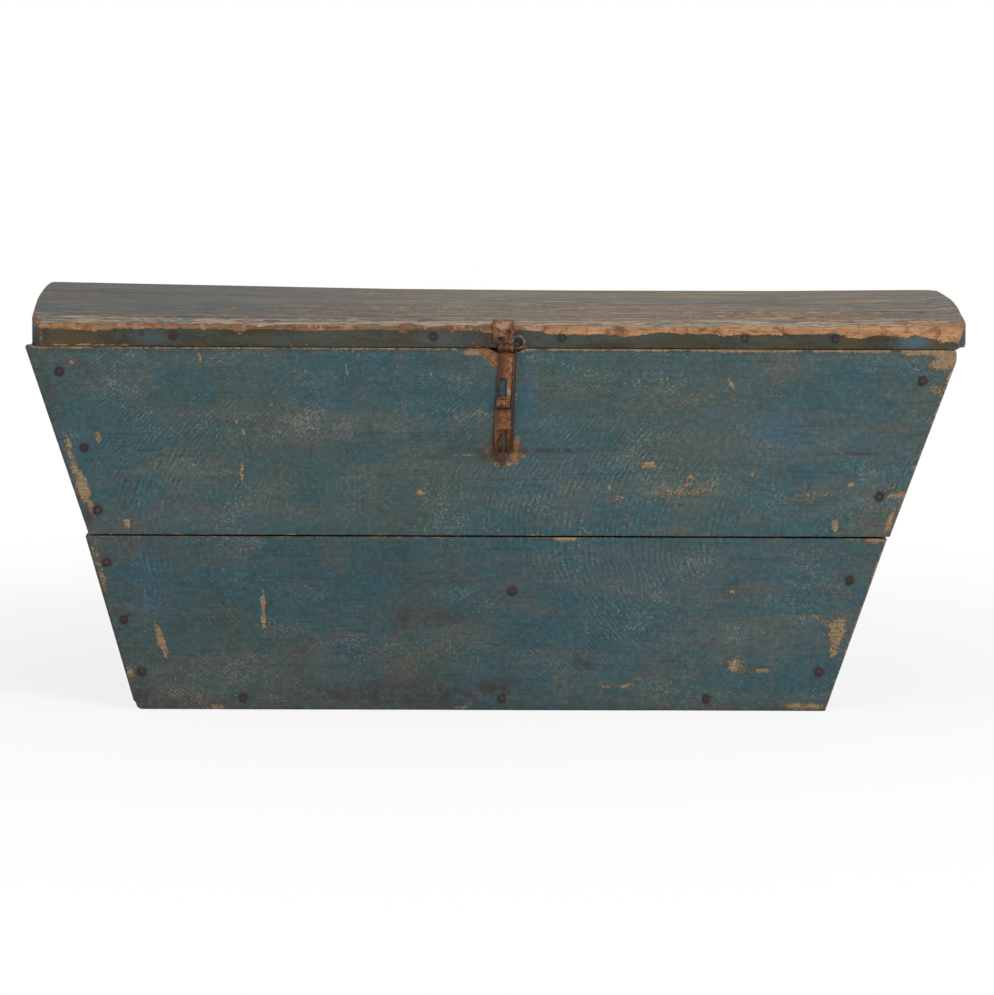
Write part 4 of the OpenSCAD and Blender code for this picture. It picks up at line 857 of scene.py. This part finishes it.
def make_front():
    for node, z0, z1, seed in (("front_board_lower", 0.0, JOINT_LOW, 1.0),
                               ("front_board_upper", JOINT_HIGH, RIM_Z + NARROWED, 5.0)):
        bm = wall_board(z0, z1, True, FINE, seed)
        upper = node == "front_board_upper"
        if upper:
            hollow_rim(bm)
            wear_shoulder(bm)
        else:
            round_foot(bm, 7 * MM)
        obj = piece(bm, node, "painted", "painted_wood", PAINT_X, SOFTWOOD_X)
        front_marks(obj, z0, z1, FRONT_WORN, FRONT_NAILS)
        if upper:
            top_arris(obj)


def cad_copy(node, whole=True):
    """A merged copy of a CAD node's mesh, its flat faces whole again"""
    bm = bmesh.new()
    bm.from_mesh(frame["nodes"][node].data)
    bmesh.ops.remove_doubles(bm, verts=bm.verts, dist=0.005 * MM)
    if whole:
        bmesh.ops.dissolve_limit(bm, angle_limit=math.radians(0.5), verts=bm.verts, edges=bm.edges)
    return bm


def slice_up(bm, gap_x, gap_y, gap_z):
    """Cuts a copied board with planes, so that it can carry dents and wear"""
    for axis, gap in ((0, gap_x), (1, gap_y), (2, gap_z)):
        if not gap:
            continue
        low = min(v.co[axis] for v in bm.verts)
        high = max(v.co[axis] for v in bm.verts)
        count = int((high - low) / gap)
        for i in range(1, count):
            place, normal = Vector((0, 0, 0)), Vector((0, 0, 0))
            place[axis] = low + (high - low) * i / count
            normal[axis] = 1
            geometry = bm.verts[:] + bm.edges[:] + bm.faces[:]
            bmesh.ops.bisect_plane(bm, geom=geometry, dist=0.001 * MM, plane_co=place, plane_no=normal)


def long_arrises(bm, length=12 * MM):
    """Edges of a copied solid that are long enough to round"""
    return [e for e in bm.edges if e.calc_length() > length and len(e.link_faces) == 2
            and e.calc_face_angle(0) > 0.8]


def make_back():
    bm = wall_board(0.0, JOINT_LOW, False, COARSE, 11.0)
    low = piece(bm, "back_board_lower", "painted", "painted_wood", PAINT_X, SOFTWOOD_X)
    bm = cad_copy("back_board_upper")
    soften(bm, 1.2 * MM, 2, long_arrises(bm))
    slice_up(bm, 9 * MM, 6 * MM, 8 * MM)
    inner_faces(bm, Vector((0, -1, 0)))
    weather(bm, 0.25 * MM, 0.3 * MM, 12.0)
    high = piece(bm, "back_board_upper", "painted", "painted_wood", PAINT_X, SOFTWOOD_X)
    for obj, z0, z1 in ((low, 0.0, JOINT_LOW), (high, JOINT_HIGH, RIM_Z)):
        front_marks(obj, z0, z1, BACK_WORN, BACK_NAILS)


def make_ends():
    for side in (LEFT, RIGHT):
        word, out = ("left", "right")[side], OUT[side]
        nails = [(p.y, p.z) for p in flat_places(word + "_end_nails", Vector((out, 0, 0)))]
        for part, z0, z1 in (("lower", 0.0, JOINT_LOW), ("upper", JOINT_HIGH, RIM_Z)):
            near, far = END_COVER, END_COVER + END_T * math.hypot(1, end_slope(side, z0))
            if side == RIGHT:
                near, far = far, near
            bm = block(lambda z: end_x(side, z) - out * near, lambda z: end_x(side, z) - out * far,
                       FRONT_Y + WALL_T, BACK_Y - WALL_T, z0, z1)
            soften(bm, 1.4 * MM)
            divide(bm, (6 * MM, 5 * MM, 5 * MM))
            inner_faces(bm, Vector((-out, 0, 0)))
            weather(bm, 0.35 * MM, 0.9 * MM, 20.0 + out + z0)
            node = f"{word}_end_board_{part}"
            obj = piece(bm, node, "painted", "painted_wood", PAINT_Y, SOFTWOOD_Y)
            p = points_of(obj) / MM
            y, z = p[:, 1], p[:, 2]
            uneven = ripple(p * MM, 60, 30.0)
            groups = ragged_groups(END_CHIPS, 8 + side)
            bare = most(0.08 + 0.10 * ripple(p * MM, 12, 4.0 + out) + spots(y * out, z, groups),
                        edge_wear(z1 / MM - z, 2.0, 0.5) + 0.3 * uneven,
                        edge_wear(z - z0 / MM, 1.5, 0.45) + 0.3 * uneven)
            stains = spots(y, z, [(0, 6, 180, 10, 0.6), (60, 180, 90, 5, 0.5)])
            mark(obj, bare=bare, soil=most(stains, nail_stains(y, z, nails, 8)),
                 blue=spots(y, z, [(40, 260, 60, 40, 0.5)]),
                 warm=spots(y, z, [(-60, 290, 70, 24, 0.7), (80, 90, 70, 20, 0.7)]),
                 specks=spots(y, z, [(-30, 240, 70, 16, 0.8), (60, 110, 50, 14, 0.8)]))


def make_inside():
    """Bottom boards and the two upright battens"""
    left, right = (END_T * math.hypot(1, SLOPE_LOW[side]) + END_COVER for side in (LEFT, RIGHT))
    for part in ("front", "middle", "back"):
        node = f"bottom_board_{part}"
        low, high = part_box(node)
        bm = block(lambda z: end_x(LEFT, z) + left, lambda z: end_x(RIGHT, z) - right,
                   low.y, high.y, low.z, high.z)
        soften(bm, 1.2 * MM)
        divide(bm, COARSE)
        weather(bm, 0.3 * MM, 0.8 * MM, 40 + low.y * 9)
        obj = piece(bm, node, "softwood", "bare_wood", SOFTWOOD_X)
        mark(obj, soil=0.25 + 0.4 * ripple(points_of(obj), 7, 2.0))
    for node in ("front_batten", "back_batten"):
        low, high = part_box(node)
        bm = block(lambda z: low.x, lambda z: high.x, low.y, high.y, low.z, high.z)
        soften(bm, 2 * MM)
        divide(bm, COARSE)
        weather(bm, 0.3 * MM, 0.9 * MM, 50 + low.y * 9)
        obj = piece(bm, node, "softwood", "bare_wood", SOFTWOOD_Z)
        mark(obj, soil=0.15 + 0.3 * ripple(points_of(obj), 9, 2.0))


def lid_block(d0, d1, z0, z1):
    """A straight block of the lid between two distances from its front edge"""
    return block(lambda z: LID_LEFT, lambda z: LID_RIGHT, LID_FRONT + d0, LID_FRONT + d1, z0, z1)


def bend_board(bm, d0, d1):
    """Lays a flat board, whose top is at zero, on the arch; its top has sagged, its underside hasn't"""
    y0, y1 = LID_FRONT + d0, LID_FRONT + d1
    for v in bm.verts:
        y = min(max(v.co.y, y0), y1)
        share = within(1 + v.co.z / LID_BOARD_T)
        v.co.z += arch(y) - share * sag(v.co.x, y)
        v.co.x += run_out(v.co.x, y)


def bend_strip(bm, d1):
    """Gives the front strip, whose top is a flat slope so far, the arch's curve and its sag"""
    y0, y1 = LID_FRONT, LID_FRONT + d1
    rise = arch(y1) - arch(y0)
    for v in bm.verts:
        y = min(max(v.co.y, y0), y1)
        chord = arch(y0) + rise * (v.co.y - y0) / d1
        share = within((v.co.z - LID_Z) / (chord - LID_Z))
        v.co.z += share * (arch(y) - chord - sag(v.co.x, y))
        v.co.x += run_out(v.co.x, y)


def hollow_strip(bm):
    """The hollow worn under the lid's edge above the hasp's knuckles"""
    radius, depth = 30 * MM, 2 * MM
    for v in bm.verts:
        off = v.co.x - HASP_X
        if abs(off) < radius and v.co.y < LID_FRONT + 7 * MM:
            v.co.z = max(v.co.z, LID_Z - radius + depth + math.sqrt(radius * radius - off * off))


def cut_off(bm, place, normal):
    """Cuts off what lies beyond a plane and closes the cut"""
    geometry = bm.verts[:] + bm.edges[:] + bm.faces[:]
    bmesh.ops.bisect_plane(bm, geom=geometry, dist=0.001 * MM, plane_co=place,
                           plane_no=normal.normalized(), clear_outer=True)
    bmesh.ops.edgeloop_fill(bm, edges=[e for e in bm.edges if len(e.link_faces) == 1])


def cut_corners(bm):
    """Cuts the lid's two front corners off across their plan, and the lower right corner"""
    along, deep, low = (size * MM for size in CORNER_CUT)
    for corner, out in ((LID_LEFT, -1), (LID_RIGHT, 1)):
        cut_off(bm, Vector((corner - out * along, LID_FRONT, 0)), Vector((out * deep, -along, 0)))
    cut_off(bm, Vector((LID_RIGHT - along, LID_FRONT, LID_Z)), Vector((low, 0, -along)))


def lid_marks(obj):
    """Worn, stained and tinted places of the lid's boards and strips, and painted shade on its left
    corner facet
    """
    p = points_of(obj) / MM
    x, d, z = p[:, 0], p[:, 1] - LID_FRONT / MM, p[:, 2] - LID_Z / MM
    uneven = ripple(p * MM * np.array([0.35, 1, 1]), 60, 70.0)
    drift = ripple(p * MM * np.array([0.4, 1, 1]), 18, 71.0)
    chunks = 1 + 0.6 * ripple(p * MM * np.array([1, 0, 0]), 30, 72.0)
    cut_along, cut_deep, _ = CORNER_CUT
    top = np.clip((d - 1.0) / 2, 0, 1)
    left, right = x - LID_LEFT / MM, LID_RIGHT / MM - x
    to_end = np.minimum(left, right)
    facet = np.clip((cut_along - to_end) / 2, 0, 1) * (d < cut_deep + 1) * np.clip((20 - z) / 3, 0, 1)
    corner = edge_wear(np.abs(to_end - 8.5), 1.6, 0.6) * (d < 3)
    low_edge = np.interp(x, [-450, -365, -350, 480], [0.7, 0.7, 0.3, 0.3])
    above = np.interp(x, *ABOVE_ARRIS)
    below = np.where(facet > 0.5, 1.2, np.interp(x, *BELOW_ARRIS))
    bare = np.interp(x, [-450, -200, 100], [0.08, 0.14, 0.18]) + 0.12 * drift
    bare = bare + spots(x, d, LID_CHIPS) * top
    bare = most(bare, low_edge * np.clip(1.5 - z / 1.8, 0, 1) * (d < 4) + 0.2 * uneven * (z < 3),
                edge_wear(right, 3.0, 0.6) + 0.3 * uneven, edge_wear(left, 2.0, 0.45) + 0.3 * uneven)
    bare = most(bare * (1 - 0.85 * facet), corner + 0.3 * uneven * (corner > 0))
    at_ends = (x < LID_LEFT / MM + cut_along) | (x > LID_RIGHT / MM - cut_along)
    face = most((d < 2.5) * np.clip((19 - z) / 2, 0, 1), at_ends * np.clip((20 - z) / 4, 0, 1))
    # The left corner facet's share, 0.55, is painted shade
    soil = most(spots(x, z, EDGE_BROWN) * face, nail_stains(x, z, LID_NAILS, 7.5) * (d < 4),
                spots(x, d, LID_SHAKES) * top, 0.55 * facet * (left < 12), 0.10 + 0.25 * drift)
    blue = most(spots(x, z, EDGE_BLUE) * face, np.interp(x, [-420, -150, 0], [0.9, 0.45, 0]) * top,
                spots(x, d, LID_BLUE) * top, facet * (right < 12))
    mark(obj, bare=bare, soil=soil, olive=spots(x, z, EDGE_OLIVE) * face, teal=face, blue=blue,
         above=above * chunks * MM, below=below * chunks * MM)


def make_lid():
    seam_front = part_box("lid_middle_board")[0].y - LID_FRONT
    seam_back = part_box("lid_back_board")[0].y - LID_FRONT
    strip_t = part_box("lid_front_board")[0].y - LID_FRONT
    seam_gap = 0.8 * MM
    boards = (("lid_front_board", strip_t, seam_front - seam_gap, (3 * MM, 3 * MM, 6 * MM)),
              ("lid_middle_board", seam_front, seam_back - seam_gap, (4 * MM, 4 * MM, 6 * MM)),
              ("lid_back_board", seam_back, 2 * HALF_LID - strip_t, (6 * MM, 5 * MM, 6 * MM)))
    for i, (node, d0, d1, spacing) in enumerate(boards):
        bm = lid_block(d0, d1, -LID_BOARD_T, 0.0)
        soften(bm, 1.2 * MM)
        divide(bm, spacing)
        inner_faces(bm, Vector((0, 0, -1)))
        weather(bm, 0.4 * MM, 1.0 * MM, 60.0 + i)
        bend_board(bm, d0, d1)
        lid_marks(piece(bm, node, "weathered", "lid_wood", LID_PAINT, SOFTWOOD_X))
    bm = lid_block(0.0, strip_t, LID_Z - NARROWED, arch(LID_FRONT))
    for v in bm.verts:
        if v.co.z > LID_Z + 1 * MM:
            v.co.z = arch(v.co.y)
    cut_corners(bm)
    soften(bm, 1.6 * MM, 3, [e for e in bm.edges if max(v.co.z for v in e.verts) > LID_Z + 1 * MM])
    soften(bm, 0.6 * MM, 2, [e for e in bm.edges if max(v.co.z for v in e.verts) < LID_Z + 0.01 * MM])
    divide(bm, (2.6 * MM, 2.6 * MM, 2.6 * MM))
    weather(bm, 0.35 * MM, 1.5 * MM, 66.0)
    bend_strip(bm, strip_t)
    hollow_strip(bm)
    inner_faces(bm, Vector((0, 0, -1)))
    lid_marks(piece(bm, "lid_front_strip", "weathered", "lid_wood", LID_PAINT, SOFTWOOD_X))
    bm = cad_copy("lid_back_strip")
    soften(bm, 1.0 * MM, 2, long_arrises(bm, 16 * MM))
    slice_up(bm, 9 * MM, 0, 0)
    weather(bm, 0.25 * MM, 0.3 * MM, 68.0)
    for v in bm.verts:
        v.co.z -= within((v.co.z - LID_Z) / (arch(v.co.y) - LID_Z)) * sag(v.co.x, v.co.y)
    lid_marks(piece(bm, "lid_back_strip", "weathered", "lid_wood", LID_PAINT))
    for word in ("left_end", "right_end", "left_hinge", "right_hinge"):
        node = f"lid_{word}_batten"
        bm = cad_copy(node)
        soften(bm, 0.8 * MM, 2, long_arrises(bm, 3 * MM))
        slice_up(bm, 0, 9 * MM, 0)
        weather(bm, 0.2 * MM, 0.2 * MM, 69.0)
        obj = piece(bm, node, "softwood", "bare_wood", SOFTWOOD_Y)
        mark(obj, soil=0.15 + 0.3 * ripple(points_of(obj), 9, 2.0))


def forge_head(bm, rub, place, out, radius, height, seed):
    """A hammered squarish nail head, its crown rubbed, set a little into the wood"""
    turned, skirt = 0.35, 0.8 * MM
    level = Vector((0, 1, 0)) if abs(out.z) > 0.9 else Vector((0, 0, 1))
    side = Quaternion(out, turned * math.sin(seed * 2.4)) @ out.cross(level).normalized()
    up = out.cross(side)
    shift = Vector((seed * 3.3, seed, -seed))
    made = bmesh.ops.create_uvsphere(bm, u_segments=20, v_segments=10, radius=1)["verts"]
    for v in made:
        x, y, z = v.co
        spread = math.hypot(x, y)
        square = (x ** 4 + y ** 4) ** 0.25 or 1.0
        grow = spread / square * (1 + 0.14 * noise.noise(Vector((x, y, 0)) * 1.3 + shift)) * 0.92
        lift = height * z ** 0.45 if z > 0 else skirt * z
        lift *= 1 + 0.25 * noise.noise(v.co * 1.7 - shift)
        v[rub] = max(0.0, 0.75 - 1.1 * spread) if z > 0 else 0.0
        v.co = place + side * x * grow * radius + up * y * grow * radius + out * lift


def make_nails():
    """Every group of nails, its heads hammered and each one turned its own way"""
    across, up = Vector((0, 1, 0)), Vector((0, 0, 1))
    left_out, right_out = (Vector((OUT[side], 0, -SLOPE_LOW[side])) for side in (LEFT, RIGHT))
    # How far a forged head's foot lies behind its solid's face, in millimetres, and how far to each side
    # the arch's slope is taken
    behind, reach = 1.4, 2 * MM
    groups = {
        "front_nails": (-across, 4.6, 1.1), "back_nails": (across, 4.6, 1.1),
        "left_end_nails": (left_out, 4.6, 1.1), "right_end_nails": (right_out, 4.6, 1.1),
        "batten_nails": (across, 4.6, 1.1), "lid_strip_nails": (across, 4.0, 1.1),
        "lid_board_nails": (up, 3.2, 0.5), "body_strap_nails": (across, 2.8, 1.0),
        "lid_strap_nails": (-up, 2.8, 1.0), "hasp_plate_nails": (-across, 1.9, 0.8),
    }
    for node, (out, radius, height) in groups.items():
        on_arch = node == "lid_board_nails"
        bm = bmesh.new()
        rub = bm.verts.layers.float.new("bare")
        for i, island in enumerate(islands(node)):
            middle = sum(island, Vector()) / len(island)
            way = out.normalized()
            if node == "lid_strip_nails" and middle.y < 0:
                way = -way
            if on_arch:
                way = Vector((0, arch(middle.y - reach) - arch(middle.y + reach), 2 * reach)).normalized()
            place = head_place(island, way) - way * behind * MM
            if on_arch:
                place.z += 0.2 * MM - sag(place.x, place.y)
            forge_head(bm, rub, place, way, radius * MM, height * MM, i + len(node))
        piece(bm, node, "forged", "nail_iron", LID_PAINT if on_arch else NAIL_IRON)


def hammer(bm, depth, waves, seed):
    """Sinks a forged piece's surface in small dents"""
    bm.normal_update()
    shift = Vector((seed, -seed, seed * 0.7))
    moves = [v.normal * -depth * (0.5 + 0.5 * noise.noise(v.co * waves + shift)) for v in bm.verts]
    for v, move in zip(bm.verts, moves):
        v.co += move


def seat_lid_plate(bm):
    """Spreads the hasp's lid plate to the left, shortens its end and lays that end on the sunken top"""
    wider, shorter, knuckles_z = 0.8, 0.6, 375 * MM
    for v in bm.verts:
        side = HASP_X - v.co.x
        if side > 0 and v.co.z > knuckles_z:
            v.co.x -= side * wider * min(1.0, (v.co.z - knuckles_z) / (2 * MM))
        back = v.co.y - LID_FRONT
        if back > 0:
            before = arch(v.co.y)
            v.co.y = LID_FRONT + back * shorter
            v.co.z += arch(v.co.y) - before - sag(HASP_X, v.co.y)


def make_plates():
    """Forged plates and straps: copies of their solids with worn arrises and hammered faces"""
    nodes = ("hasp_lid_plate", "hasp_upper_link", "hasp_slotted_plate", "left_hinge_body_strap",
             "right_hinge_body_strap", "left_hinge_lid_strap", "right_hinge_lid_strap")
    for i, node in enumerate(nodes):
        on_hasp, flat = node.startswith("hasp"), "lid_strap" in node
        bm = cad_copy(node)
        soften(bm, 0.5 * MM, 2, long_arrises(bm, 2.5 * MM))
        gap = (2 if on_hasp else 4) * MM
        slice_up(bm, gap, gap if flat else 0, 0 if flat else gap)
        if node == "hasp_lid_plate":
            seat_lid_plate(bm)
        hammer(bm, 0.35 * MM, 160, 80.0 + i)
        obj = piece(bm, node, "forged", "rusty_iron", HASP_IRON if on_hasp else IRON)
        p = points_of(obj) / MM
        x, z = p[:, 0], p[:, 2]
        if on_hasp:
            bare, soil = spots(x, z, HASP_RUBBED) + 0.15 * ripple(p * MM, 90, 5.0), spots(x, z, HASP_DARK)
        else:
            bare, soil = 0.15 + 0.35 * ripple(p * MM, 40, 6.0), 0.2 + 0.4 * ripple(p * MM, 25, 7.0)
        mark(obj, bare=bare, soil=soil)


def make_wires():
    """Pins, staple and hook: smooth copies of their solids, lightly dented"""
    nodes = ("lock_staple", "left_hinge_pin", "right_hinge_pin", "hasp_upper_pin", "hasp_lower_pin",
             "hasp_hook")
    for i, node in enumerate(nodes):
        bm = cad_copy(node, whole=False)
        hammer(bm, 0.06 * MM, 300, 90.0 + i)
        slot = "rusty_iron" if node == "lock_staple" else "worn_steel"
        obj = piece(bm, node, "drawn", slot, WIRE)
        obj.data.set_sharp_from_angle(angle=WIRE_SHARP_FROM)
        p = points_of(obj) / MM
        rubbed = 0.8 if node == "hasp_upper_pin" else 0.1
        soiled = 0.9 if node == "hasp_hook" else 0.35
        mark(obj, bare=rubbed + 0.3 * ripple(p * MM, 120, 9.0),
             soil=soiled + 0.4 * ripple(p * MM, 60, 9.5))


make_front()
make_back()
make_ends()
make_inside()
make_lid()
make_nails()
make_plates()
make_wires()


def make_floor():
    """A pale floor that keeps the shadow and turns white away from the trunk"""
    floor_radius, below_foot = 2.4, 0.3 * MM
    bm = bmesh.new()
    bmesh.ops.create_circle(bm, cap_ends=True, segments=96, radius=floor_radius)
    bmesh.ops.translate(bm, verts=bm.verts, vec=(0, 0, -below_foot))
    mesh = bpy.data.meshes.new("floor")
    bm.to_mesh(mesh)
    bm.free()
    f = Finish("pale_floor")
    f.shader.inputs["Base Color"].default_value = (0.86, 0.86, 0.86, 1)
    f.shader.inputs["Roughness"].default_value = 0.9
    f.shader.inputs["Specular IOR Level"].default_value = 0.1
    distance = f.maths("SQRT", f.plus(f.times(f.x, f.x), f.times(f.y, f.y)))
    glow = f.tree.nodes.new("ShaderNodeEmission")
    glow.inputs["Strength"].default_value = 1.0
    rays = f.tree.nodes.new("ShaderNodeLightPath")
    seen = f.larger(rays.outputs["Is Camera Ray"], rays.outputs["Is Glossy Ray"])
    mix = f.tree.nodes.new("ShaderNodeMixShader")
    f.give(mix.inputs[0], f.times(seen, f.step(distance, 0.45, 1.3, 0.80, 1.0)))
    f.give(mix.inputs[1], f.shader.outputs[0])
    f.give(mix.inputs[2], glow.outputs[0])
    f.give(f.tree.nodes["Material Output"].inputs["Surface"], mix.outputs[0])
    mesh.materials.append(f.material)
    floor = add_object("floor", mesh)


def soft_light(name, place, size, power):
    """A round lamp that is aimed at the trunk's middle"""
    data = bpy.data.lights.new(name, "AREA")
    data.shape = "DISK"
    data.size = size
    data.energy = power
    light = add_object(name, data)
    light.location = place
    trunk_middle = Vector((0, 0, 0.2))
    aim = trunk_middle - Vector(place)
    light.rotation_mode = "QUATERNION"
    light.rotation_quaternion = aim.to_track_quat("-Z", "Y")


def make_light():
    """A white surround, which lights the trunk at half its strength, and two soft lamps"""
    world = bpy.data.worlds.new("studio")
    bpy.context.scene.world = world
    world.use_nodes = True
    tree = world.node_tree
    sky = tree.nodes["Background"]
    sky.inputs["Color"].default_value = (1, 1, 1, 1)
    rays = tree.nodes.new("ShaderNodeLightPath")
    seen = tree.nodes.new("ShaderNodeMath")
    seen.operation = "MAXIMUM"
    tree.links.new(rays.outputs["Is Camera Ray"], seen.inputs[0])
    tree.links.new(rays.outputs["Is Glossy Ray"], seen.inputs[1])
    light_strength, seen_strength = 0.5, 1.0
    level = tree.nodes.new("ShaderNodeMapRange")
    level.inputs["To Min"].default_value = light_strength
    level.inputs["To Max"].default_value = seen_strength
    tree.links.new(seen.outputs[0], level.inputs["Value"])
    tree.links.new(level.outputs[0], sky.inputs["Strength"])
    soft_light("key", (2.2, -3.2, 3.0), 2.2, 130)
    soft_light("fill", (-3.0, -2.6, 1.6), 3.0, 40)


def make_camera():
    """The photograph's view: a long lens from the left, a little above the lid"""
    eye, target = Vector((-0.0899, -5.0781, 0.8352)), Vector((0.0165, -0.200, 0.2188))
    data = bpy.data.cameras.new("camera")
    data.sensor_width = 36
    data.lens = 175.48
    camera = add_object("camera", data)
    camera.location = eye
    camera.rotation_mode = "QUATERNION"
    tilt = Quaternion((0, 0, 1), math.radians(0.38))
    camera.rotation_quaternion = (target - eye).to_track_quat("-Z", "Y") @ tilt
    bpy.context.scene.camera = camera


make_floor()
make_light()
make_camera()
bpy.context.scene.view_settings.view_transform = "Standard"
